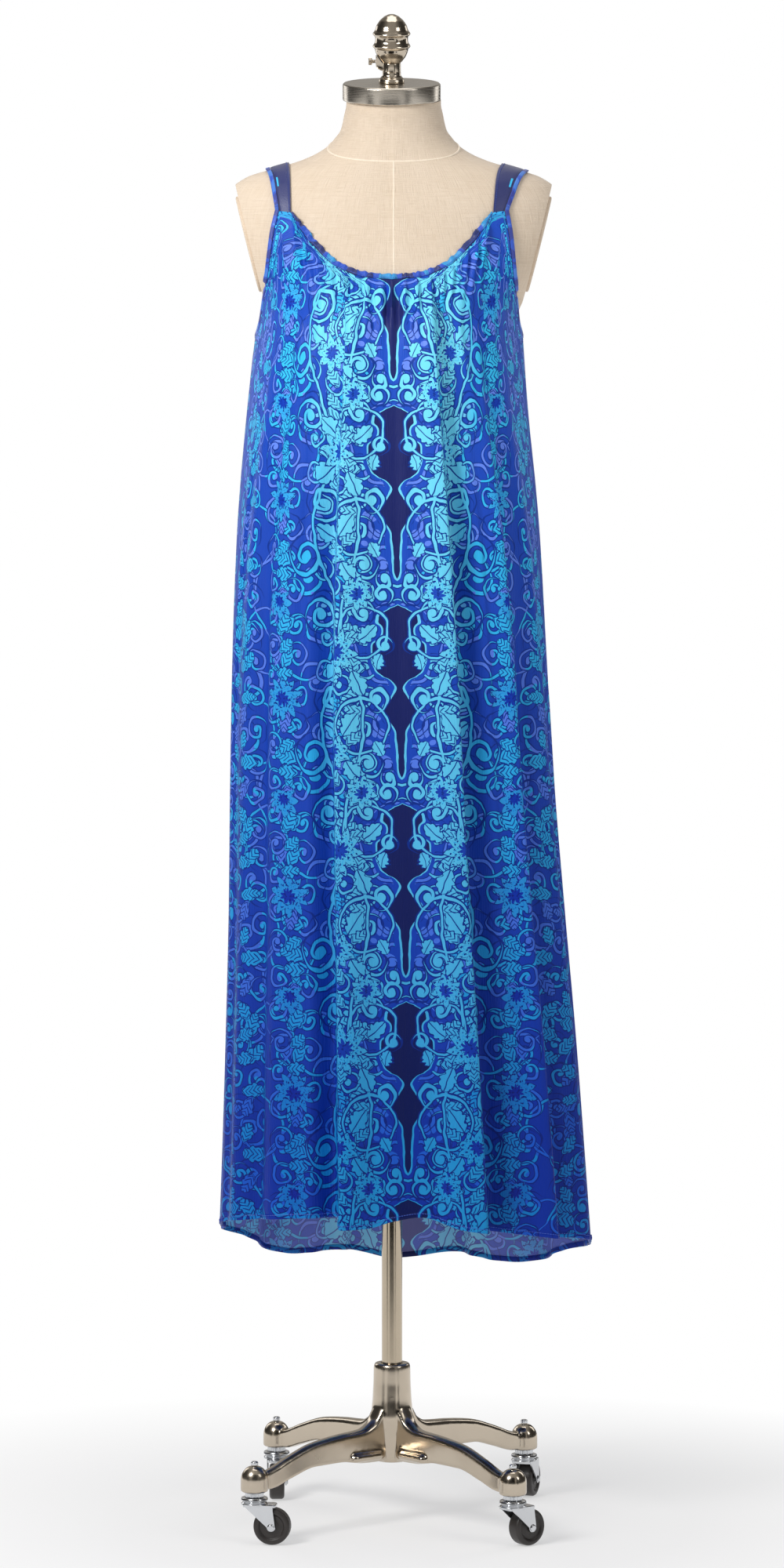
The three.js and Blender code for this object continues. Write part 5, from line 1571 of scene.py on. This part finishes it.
def make_print():
    tree = bpy.data.node_groups.new("scrollwork_print", "ShaderNodeTree")
    tree.interface.new_socket("Place", in_out="INPUT", socket_type="NodeSocketVector")
    tree.interface.new_socket("Color", in_out="OUTPUT", socket_type="NodeSocketColor")
    start = tree.nodes.new("NodeGroupInput")
    layers = print_layers(tree, start.outputs[0])
    side, folded = layers["side"], layers["folded"]

    patch = node(tree, "TexNoise", folded, named={"Scale": 0.02, "Detail": 2.0}, out="Fac")
    violet = node(tree, "TexVoronoi", folded, named={"Scale": 0.055}, out="Distance")
    deep_here = node(tree, "MAXIMUM", side, node(tree, "MULTIPLY", patch, 0.6))
    colour = paint(tree, ink("royal"), ink("deep"), deep_here)
    violet_here = node(tree, "LESS_THAN", node(tree, "ADD", violet, side), 0.3)
    colour = paint(tree, colour, ink("periwinkle"), violet_here)

    side_ink = paint(tree, ink("cyan"), ink("periwinkle"), node(tree, "LESS_THAN", patch, 0.5))
    colour = outlined(tree, colour, side_ink, layers["bold"], 1.2)
    colour = outlined(tree, colour, side_ink, layers["side_lines"], 1.0)
    colour = outlined(tree, colour, paint(tree, ink("turquoise"), side_ink, side), layers["fine"], 1.4)

    for kind in ("under_leaves", "over_leaves"):
        leaves, which = layers[kind]
        bright = paint(tree, ink("turquoise"), ink("cyan"), node(tree, "LESS_THAN", which, 0.3))
        dull = paint(tree, ink("cyan"), ink("periwinkle"), node(tree, "LESS_THAN", which, 0.35))
        colour = outlined(tree, colour, paint(tree, bright, dull, side), leaves, 1.8)

    for name, edge in (("royal", FIGURE_GROUND), ("turquoise", FIGURE_RIM), ("navy", 0.0)):
        colour = paint(tree, colour, ink(name), node(tree, "LESS_THAN", layers["figure"], edge))

    stem_ink = paint(tree, ink("turquoise"), ink("cyan"), side)
    colour = outlined(tree, colour, stem_ink, layers["stems"])
    colour = outlined(tree, colour, stem_ink, layers["leaves"])

    flower = layers["flower"]
    colour = paint(tree, colour, ink("outline"), node(tree, "LESS_THAN", flower, 1.07))
    speckled = node(tree, "TexNoise", folded, named={"Scale": 0.3, "Detail": 1.0})
    specks = node(tree, "LESS_THAN", speckled, 0.4)
    petals = paint(tree, flower_colours(tree, flower), ink("outline"), specks)
    petals = node(tree, "Mix", data_type="RGBA", blend_type="MULTIPLY", out=2,
                  named={0: side, 6: petals, 7: linear("#84c8f0")})
    colour = paint(tree, colour, petals, node(tree, "LESS_THAN", flower, 1.0))

    finish = tree.nodes.new("NodeGroupOutput")
    tree.links.new(colour, finish.inputs[0])
    return tree


print_group = make_print()
print("print group has", len(print_group.nodes), "nodes")

# %% [markdown]
# The cloth is a heavy satin: its threads float on the face, so it throws a broad, soft
# highlight that runs along each fold, with a faint bloom at grazing angles. The wrong side
# shows the backs of the threads, so the same print looks greyer and flat there; its pale veil
# also paints it lighter, as painted light inside the skirt. The lower skirt hangs away from the
# light, so painted shade darkens the print a little on the way down. Satin's threads are far
# finer than a pixel, so its rib is drawn 1.4 mm wide.

# %% Satin, right side and wrong side
SATIN_RIB_MM = 1.4
SATIN_RELIEF_M = 0.0006
WRONG_SIDE_VEIL_AND_LIGHT = 0.3
# how far down the cloth the painted shade begins, and where it is darkest
PAINTED_SHADE_DOWN_MM = (200.0, 1150.0)


def satin(name, wrong_side=False):
    """The right side is smooth and shines softly, with painted shade towards the hem. The wrong side is
    rough, under a pale veil that greys it and paints light on it.
    """
    material, tree = new_material(name, INK["royal"])
    place = node(tree, "Attribute", attribute_name="print_mm", out="Vector")
    printed = node(tree, "Group", place, node_tree=print_group)
    if wrong_side:
        # The pale veil greys the wrong side as its thread backs do, and also paints it lighter, standing in
        # for light inside the skirt.
        print_with_painted_light = paint(tree, printed, linear("#a9a8dc"), WRONG_SIDE_VEIL_AND_LIGHT)
    else:
        down = node(tree, "SeparateXYZ", place).node.outputs[1]
        # Painted shade: the print is multiplied darker towards the hem, for the lower skirt hanging away
        # from the light.
        painted_shade_down = node(tree, "MapRange", down, *PAINTED_SHADE_DOWN_MM, 0.0, 1.0)
        print_with_painted_light = node(tree, "Mix", data_type="RGBA", blend_type="MULTIPLY", out=2,
                    named={0: painted_shade_down, 6: printed, 7: linear("#3e98c6")})
    threads = node(tree, "Mapping", place, named={"Scale": (1 / SATIN_RIB_MM, 0.05 / SATIN_RIB_MM, 1)})
    grain = node(tree, "TexNoise", threads, named={"Scale": 1.0, "Detail": 2.0}, out="Fac")
    soft = node(tree, "TexNoise", place, named={"Scale": 0.02, "Detail": 3.0}, out="Fac")
    height = node(tree, "ADD", grain, soft)
    shader = node(
        tree,
        "BsdfPrincipled",
        named={
            "Base Color": print_with_painted_light,
            "Roughness": 0.75 if wrong_side else 0.42,
            "Specular IOR Level": 0.1 if wrong_side else 0.17,
            "Sheen Weight": 0.04 if wrong_side else 0.02,
            "Sheen Roughness": 0.4,
            "Sheen Tint": linear("#a9c8f2"),
        },
    )
    close_material(tree, shader, height, SATIN_RELIEF_M)
    return material


satin_face = satin("printed satin")
satin_back = satin("printed satin wrong side", wrong_side=True)

# %% [markdown]
# A panel is one sheet of points, two to three millimetres apart across the folds. Its print
# coordinates are measured from side to side along the cloth, not across the air, so the print
# runs into a fold and out again as it does on real satin. A solidify modifier gives it a
# thickness inwards, with the wrong-side material on the inner face.

# %% The two panels
PANEL_COLUMNS = 260
TOP_ROWS = 44
SKIRT_ROWS = 134
TOP_SHARE = 0.1
SATIN_THICKNESS_M = 0.0008
PRINT_TOP_Z = 1640
GRAIN_DRIFT = 20
top_downs = np.linspace(0, TOP_SHARE, TOP_ROWS, endpoint=False)
downs = np.concatenate([top_downs, np.linspace(TOP_SHARE, 1, SKIRT_ROWS)])
shares = np.linspace(-1, 1, PANEL_COLUMNS + 1)


def print_places(points):
    """Millimetres along the cloth from its middle, and down from a level above the neckline."""
    steps = np.linalg.norm(np.diff(points, axis=1), axis=2)
    along = np.concatenate([np.zeros((len(points), 1)), np.cumsum(steps, axis=1)], axis=1)
    middle = points.shape[1] // 2
    z = points[..., 2]
    drift = GRAIN_DRIFT * smoothstep(PRINT_TOP_Z, FOLD_END_Z, z)
    return np.stack([along - along[:, middle : middle + 1] - drift, PRINT_TOP_Z - z, 0 * z], -1)


def store_places(mesh, places):
    attribute = mesh.attributes.new("print_mm", "FLOAT_VECTOR", "POINT")
    attribute.data.foreach_set("vector", np.asarray(places, np.float32).ravel())


def make_panel(panel, name, node_name):
    points = cloth_point(panel, shares[None, :], downs[:, None])
    points[..., 1] += panel["facing"] * SEAM_GAP / 2
    places = print_places(points)
    faces = grid_faces(*points.shape[:2])
    if panel["facing"] > 0:
        faces = [face[::-1] for face in faces]
    made = piece(name, points.reshape(-1, 3), faces, satin_face, "form", [node_name], "printed_satin", 1.2)
    if made.data.polygons[len(faces) // 2].normal.y * panel["facing"] < 0:
        made.data.flip_normals()
    store_places(made.data, places.reshape(-1, 3))
    made.data.materials.append(satin_back)
    wall = made.modifiers.new("thickness", "SOLIDIFY")
    wall.thickness = SATIN_THICKNESS_M
    wall.offset = -1
    wall.material_offset = 1
    return made, points


front_panel, front_points = make_panel(FRONT, "front_panel", "gown_front")
back_panel, back_points = make_panel(BACK, "back_panel", "gown_back")


def path_marks(path):
    """How far along a path each of its points lies."""
    return np.concatenate([[0], np.cumsum(np.linalg.norm(np.diff(path, axis=0), axis=1))])


def sheet_area(points):
    across = points[:-1, 1:] - points[:-1, :-1]
    fall = points[1:, :-1] - points[:-1, :-1]
    return np.linalg.norm(np.cross(across, fall), axis=-1).sum() * MM * MM


for name, points in (("front", front_points), ("back", back_points)):
    print(name, "hem", round(path_marks(points[-1])[-1]), "mm, area", round(sheet_area(points), 3), "m2")

# %% [markdown]
# The hem is rolled twice and stitched, so the last six millimetres are thicker than the rest.
# It is a slim band round the panel's edge that carries the same print, with a row of thread
# on its face.

# %% Rolled hems
HEM_HEIGHT = 6.0
HEM_PROUD = 0.55
HEM_INWARD = 1.6
STITCH_STEP = 3.2
STITCH_LENGTH = 2.2
STITCH_RADIUS = 0.35
# where the four points of a stitch lie along it and out of the cloth
STITCH_ALONG = np.array([-0.5, -0.25, 0.25, 0.5]) * STITCH_LENGTH
STITCH_OUT = np.array([-0.1, 0.18, 0.18, -0.1])
# out of the cloth, up from its edge
HEM_SECTION = [(HEM_PROUD, HEM_HEIGHT), (HEM_PROUD * 0.2, HEM_HEIGHT + 0.5), (-HEM_INWARD, HEM_HEIGHT + 0.3),
               (-HEM_INWARD - 0.3, HEM_HEIGHT / 2), (-HEM_INWARD, 0.2), (-HEM_INWARD / 2, -0.35),
               (HEM_PROUD * 0.5, -0.1), (HEM_PROUD, 0.8), (HEM_PROUD, HEM_HEIGHT / 2)]


def polyester_thread(name, colour):
    """Spun polyester thread: a tight twist with a slight shine."""
    material, tree = new_material(name, colour)
    place = node(tree, "TexCoord", out="Object")
    twist = node(tree, "TexNoise", place, named={"Scale": 1500.0, "Detail": 1.0}, out="Fac")
    tone = paint(tree, ink("deep"), linear(colour), twist)
    shader = node(tree, "BsdfPrincipled", named={"Base Color": tone, "Roughness": 0.5, "Sheen Weight": 0.2})
    close_material(tree, shader, twist, 0.0001)
    return material


blue_thread = polyester_thread("royal blue thread", "#2c4fae")
navy_thread = polyester_thread("navy thread", "#2a3478")


def stitches(path, out, material, name, slot):
    """Short threads laid end to end along a path, just proud of the cloth."""
    path = np.asarray(path, float)
    lengths = path_marks(path)
    count = max(int(lengths[-1] / STITCH_STEP), 2)
    parts = []
    for i in range(count):
        marks = (i + 0.5) * STITCH_STEP + STITCH_ALONG
        points = np.stack([np.interp(marks, lengths, path[:, k]) for k in range(3)], 1)
        normal = np.stack([np.interp(marks[:1], lengths, out[:, k]) for k in range(3)], 1)[0]
        points += STITCH_OUT[:, None] * normal
        parts.append(thread_along(points, STITCH_RADIUS, 5))
    return piece(name, *joined(parts), material, "form", slot=slot, sharp=1.2)


def make_hem(panel, name):
    edge_shares = np.linspace(-1, 1, 401)
    low = cloth_point(panel, edge_shares, 1.0)
    low[:, 1] += panel["facing"] * SEAM_GAP / 2
    out = cloth_normal(panel, edge_shares, 1.0)
    up = unit(cloth_point(panel, edge_shares, 0.995) - cloth_point(panel, edge_shares, 1.0))
    rings = [np.array([p + o * side + u * rise for side, rise in HEM_SECTION])
             for p, o, u in zip(low, out, up)]
    steps = path_marks(low)
    along = steps - steps[len(steps) // 2] - GRAIN_DRIFT
    places = np.concatenate([[(a, PRINT_TOP_Z - p[2], 0) for p in ring] for a, ring in zip(along, rings)])
    made = piece(name, *lofted(rings), satin_face, "form", slot="printed_satin", sharp=1.2)
    store_places(made.data, places)
    row = low + out * (HEM_PROUD + 0.1) + up * (HEM_HEIGHT - 1.2)
    sewn = stitches(row, out, blue_thread, f"{name}_stitches", "printed_satin")
    return [made, sewn]


front_hem = make_hem(FRONT, "front_hem")
back_hem = make_hem(BACK, "back_hem")
print("hem stitches", sum(len(o.data.polygons) for o in (front_hem[1], back_hem[1])), "faces")

# %% [markdown]
# The neckline is bound with a bias strip of the same satin, folded over the gathers and
# stitched. The armholes have a narrower one that runs on over the shoulder as the strap's
# outer edge. Each binding is a rounded section carried along the edge of the cloth, so it
# follows every gather.

# %% Bindings
BINDING_WIDTH = 7.5
BINDING_THICKNESS = 2.2
TRIM_WIDTH = 5.5
EDGE_GAP = 0.6
EDGE_STEP = 0.012
BINDING_RISE = 0.4
# how much the binding narrows where it runs under a strap's foot, and from where
FOOT_NARROWING = 0.72
FOOT_NARROWS_FROM = 0.86
STRAP_THICKNESS = 2
STRAP_LIFT = 1.2
STRAP_FOOT_FRONT_Z = 1622.8
STRAP_FOOT_BACK_Z = 1616.8
SHOULDER_PIVOT_Z = 1600
STRAPS = table(
    "way left_inner left_outer right_inner right_outer",
    [
        (0, 123.5, 136.6, 123.5, 136.6),
        (0.2, 124.5, 142.5, 127, 149),
        (0.45, 127, 149.5, 135, 162),
        (0.6, 126, 148.5, 134, 160),
        (0.8, 122.5, 142, 127, 148),
        (1, 119, 131.8, 119, 131.8),
    ],
)
strap_edge = reader(STRAPS, "way")


def edge_stations(panel, share, low_end, high_end):
    """Points on an edge of the cloth, with the ways out of the cloth and on past its edge."""
    low = cloth_point(panel, np.maximum(share - EDGE_STEP, low_end), 0.0)
    high = cloth_point(panel, np.minimum(share + EDGE_STEP, high_end), 0.0)
    along = unit(high - low)
    out = cloth_normal(panel, share, 0.0)
    out = unit(out - along * (out * along).sum(-1, keepdims=True))
    past = unit(np.cross(out, along))
    down = cloth_point(panel, share, 0.03) - cloth_point(panel, share, 0.0)
    past = np.where(((past * down).sum(-1) > 0)[:, None], -past, past)
    point = cloth_point(panel, share, 0.0)
    seam = np.abs(share) > 0.9999
    point[seam, 1] = 0
    out[seam] = np.stack([np.sign(share[seam]), 0 * share[seam], 0 * share[seam]], -1)
    past[seam] = (0, 0, 1)
    return point, out, past


def skin_point(x, turn, lift):
    """Where a ray from inside the shoulder leaves the form, for each x and turn."""
    x, turn = np.broadcast_arrays(np.asarray(x, float), np.asarray(turn, float))
    low, high = np.zeros(x.shape), np.full(x.shape, 200.0)
    for _ in range(40):
        reach = (low + high) / 2
        y, z = -np.cos(turn) * reach, SHOULDER_PIVOT_Z + np.sin(turn) * reach
        across = x - FORM_CENTRE_X
        within = (np.abs(across) < form_level(z, "half")) & (np.abs(y) < form_depth(across, z, y < 0))
        low, high = np.where(within, reach, low), np.where(within, high, reach)
    reach = low + lift
    return np.stack([x, -np.cos(turn) * reach, SHOULDER_PIVOT_Z + np.sin(turn) * reach], -1)


def turn_at_height(x, z, to_front):
    low, high = np.zeros(np.shape(x)), np.full(np.shape(x), math.pi / 2)
    for _ in range(30):
        turn = (low + high) / 2
        height = skin_point(x, turn if to_front else math.pi - turn, STRAP_LIFT)[..., 2]
        low, high = np.where(height < z, turn, low), np.where(height < z, high, turn)
    return low if to_front else math.pi - low


def strap_point(side, way, edge, lift):
    name = "left" if side < 0 else "right"
    way, edge = np.broadcast_arrays(np.asarray(way, float), np.asarray(edge, float))
    x = side * lerp(strap_edge(way, f"{name}_inner"), strap_edge(way, f"{name}_outer"), edge)
    start = turn_at_height(x, STRAP_FOOT_FRONT_Z, True)
    end = turn_at_height(x, STRAP_FOOT_BACK_Z, False)
    return skin_point(x, lerp(start, end, way), lift)


def strap_stations(side, way):
    point = strap_point(side, way, 1.0, STRAP_LIFT + STRAP_THICKNESS)
    inner = strap_point(side, way, 0.8, STRAP_LIFT + STRAP_THICKNESS)
    along = unit(strap_point(side, np.minimum(way + 0.02, 1), 1.0, STRAP_LIFT)
                 - strap_point(side, np.maximum(way - 0.02, 0), 1.0, STRAP_LIFT))
    past = point - inner
    past = unit(past - along * (past * along).sum(-1, keepdims=True))
    out = unit(np.cross(along, past))
    upright = point - np.stack([point[:, 0], 0 * point[:, 0], 0 * point[:, 0] + SHOULDER_PIVOT_Z], -1)
    out = np.where(((out * upright).sum(-1) < 0)[:, None], -out, out)
    return point, out, past


def binding_section(width):
    """A folded strip's outline: flat faces, round long edges."""
    half = BINDING_THICKNESS / 2
    middle = BINDING_RISE - half
    turn = np.linspace(-math.pi / 2, math.pi / 2, 5)
    far = [(EDGE_GAP + width - half + half * math.cos(a), middle + half * math.sin(a)) for a in turn]
    near = [(EDGE_GAP + half * 0.6 - half * 0.6 * math.cos(a), middle - half * math.sin(a)) for a in turn]
    crown = [(EDGE_GAP + width * s, BINDING_RISE) for s in (0.7, 0.4)]
    return [*far, *crown, *near]


def carried(section, stations, puckers, pucker_step, narrow=1.0):
    """Carries a section along stations. Puckers swell it a little, as a gathered edge does."""
    point, out, past = stations
    lengths = path_marks(point)
    swell = 1 + puckers * np.cos(2 * math.pi * lengths / pucker_step + 1.7 * np.sin(lengths / 23))
    rings = []
    for p, o, q, s, n in zip(point, out, past, swell, narrow + 0 * swell):
        rings.append(np.array([p + q * beyond * n + o * high * s for beyond, high in section]))
    return rings, lengths


def bound_cloth(name, streak_colour, ground_colour, streak_mm):
    """Bias-cut satin: the print is cut small here, so only slanting flashes of it show."""
    material, tree = new_material(name, ground_colour)
    place = node(tree, "Attribute", attribute_name="print_mm", out="Vector")
    slant = node(tree, "Mapping", place,
                 named={"Rotation": (0, 0, 0.7), "Scale": (1 / streak_mm, 0.4 / streak_mm, 1)})
    flash = node(tree, "TexNoise", slant, named={"Scale": 1.0, "Detail": 1.0}, out="Fac")
    tone = paint(tree, linear(ground_colour), ink("royal"), node(tree, "LESS_THAN", 0.47, flash))
    tone = paint(tree, tone, linear(streak_colour), node(tree, "LESS_THAN", 0.56, flash))
    fine = node(tree, "TexNoise", place, named={"Scale": 1.2, "Detail": 2.0}, out="Fac")
    shader = node(tree, "BsdfPrincipled", named={"Base Color": tone, "Roughness": 0.42, "Sheen Weight": 0.2})
    close_material(tree, shader, fine, 0.0003)
    return material


neck_bias = bound_cloth("bias-cut satin binding", "#2790cc", "#1c2868", 34.0)
arm_bias = bound_cloth("shirred satin edging", "#3a74cc", "#22348c", 16.0)


def make_binding(name, rings, lengths, material, replaced, looped=False):
    made = piece(name, *lofted(rings, looped), material, "form", [replaced], "printed_binding", 1.0)
    size = len(rings[0])
    store_places(made.data, np.concatenate([[(a, 2.0 * k, 0) for k in range(size)] for a in lengths]))
    return made


def neck_binding(panel, name, replaced):
    share = np.linspace(-NECK_SHARE, NECK_SHARE, 261)
    stations = edge_stations(panel, share, -NECK_SHARE, NECK_SHARE)
    tucked = 1 - FOOT_NARROWING * smoothstep(FOOT_NARROWS_FROM, 1, np.abs(share) / NECK_SHARE)
    rings, lengths = carried(binding_section(BINDING_WIDTH), stations, 0.1, 6.0, tucked)
    made = make_binding(name, rings, lengths, neck_bias, replaced)
    point, out, past = stations
    row = point + out * (BINDING_RISE + 0.15) + past * ((EDGE_GAP + 1.6) * tucked)[:, None]
    return [made, stitches(row, out, blue_thread, f"{name}_stitches", "printed_binding")]


def armhole_binding(side, name, replaced):
    low_end, high_end = (STRAP_SHARE, 1) if side > 0 else (-1, -STRAP_SHARE)
    share = side * np.linspace(STRAP_SHARE, 1, 64)
    front = edge_stations(FRONT, share, low_end, high_end)
    back = edge_stations(BACK, share[:-1][::-1], low_end, high_end)
    over = strap_stations(side, np.linspace(0.04, 0.96, 46)[::-1])
    stations = [np.concatenate(kinds) for kinds in zip(front, back, over)]
    rings, lengths = carried(binding_section(TRIM_WIDTH), stations, 0.1, 3.4)
    make_binding(name, rings, lengths, arm_bias, replaced, looped=True)


front_binding = neck_binding(FRONT, "front_neck_binding", "neck_binding_front")
back_binding = neck_binding(BACK, "back_neck_binding", "neck_binding_back")
for side, name in ((-1, "left"), (1, "right")):
    armhole_binding(side, f"{name}_armhole_edging", f"armhole_binding_{name}")
print("bindings made")

# %% [markdown]
# The straps are folded strips of plain navy satin with one flash of the print near the outer
# edge. They are narrow at the feet and spread over the shoulder, lying just clear of the
# linen, with a soft crown across and a stitched inner edge.

# %% Straps
# the flash's place along and across, its half width and how it tapers along the strap
FLASH_AT_MM = 45
FLASH_ACROSS = 0.84
FLASH_HALF = 0.055
FLASH_TAPER = 0.0075
STRAP_WAYS = 72
STRAP_ACROSS = 13
FOOT_TUCK = 0.025


def strap_satin(name):
    """Plain navy satin: dark, with a soft shine and one long, thin flash of the print."""
    material, tree = new_material(name, "#222a62")
    place = node(tree, "Attribute", attribute_name="print_mm", out="Vector")
    along = node(tree, "SeparateXYZ", place)
    across = node(tree, "MULTIPLY", along.node.outputs[1], 0.1)
    off_line = node(tree, "ABSOLUTE", node(tree, "SUBTRACT", across, FLASH_ACROSS))
    off_middle = node(tree, "ABSOLUTE", node(tree, "SUBTRACT", along, FLASH_AT_MM))
    flash = node(tree, "MAXIMUM", off_line, node(tree, "MULTIPLY", off_middle, FLASH_TAPER))
    tone = paint(tree, linear("#222a62"), ink("cyan"), node(tree, "LESS_THAN", flash, FLASH_HALF))
    grain = node(tree, "TexNoise", place, named={"Scale": 0.9, "Detail": 2.0}, out="Fac")
    shader = node(tree, "BsdfPrincipled", named={"Base Color": tone, "Roughness": 0.4, "Sheen Weight": 0.18})
    close_material(tree, shader, grain, 0.0003)
    return material


navy_satin = strap_satin("navy satin strap")


def make_strap(side, name):
    ways = np.linspace(-FOOT_TUCK, 1 + FOOT_TUCK, STRAP_WAYS)
    edges = np.linspace(0, 1, STRAP_ACROSS)
    top = strap_point(side, ways[:, None], edges[None, :], STRAP_LIFT + STRAP_THICKNESS)
    out = strap_stations(side, ways)[1]
    bottom = top - out[:, None, :] * STRAP_THICKNESS
    ease = 0.5 * (np.abs(edges * 2 - 1) ** 6)
    top = top - out[:, None, :] * ease[None, :, None]
    bottom = bottom + out[:, None, :] * ease[None, :, None]
    rings = [np.concatenate([t, b[::-1]]) for t, b in zip(top, bottom)]
    made = piece(f"strap_folded_{name}", *lofted(rings), navy_satin, "form",
                 [f"strap_{name}"], "navy_strap", 1.0)
    across = np.concatenate([edges, edges[::-1]]) * 10
    lengths = path_marks(top[:, STRAP_ACROSS // 2])
    store_places(made.data, np.concatenate([[(a, e, 0) for e in across] for a in lengths]))
    row = strap_point(side, ways, 0.12, STRAP_LIFT + STRAP_THICKNESS + 0.1)
    stitches(row, out, navy_thread, f"strap_stitches_{name}", "navy_strap")
    print(name, "strap", round(lengths[-1]), "mm long")


make_strap(-1, "left")
make_strap(1, "right")

# %% [markdown]
# Last the cloth's facts are printed: which pieces are sheets of cloth, and how wide, how
# long and how large each lies flat, as measured.

# %% Cloth facts, sizes and the end
for sheet, points in ((front_panel, front_points), (back_panel, back_points)):
    width = path_marks(points[-1])[-1] * MM
    fall = path_marks(points[:, points.shape[1] // 3])[-1] * MM
    print(sheet.name, "measured width", width, "fall", fall, "area", sheet_area(points))
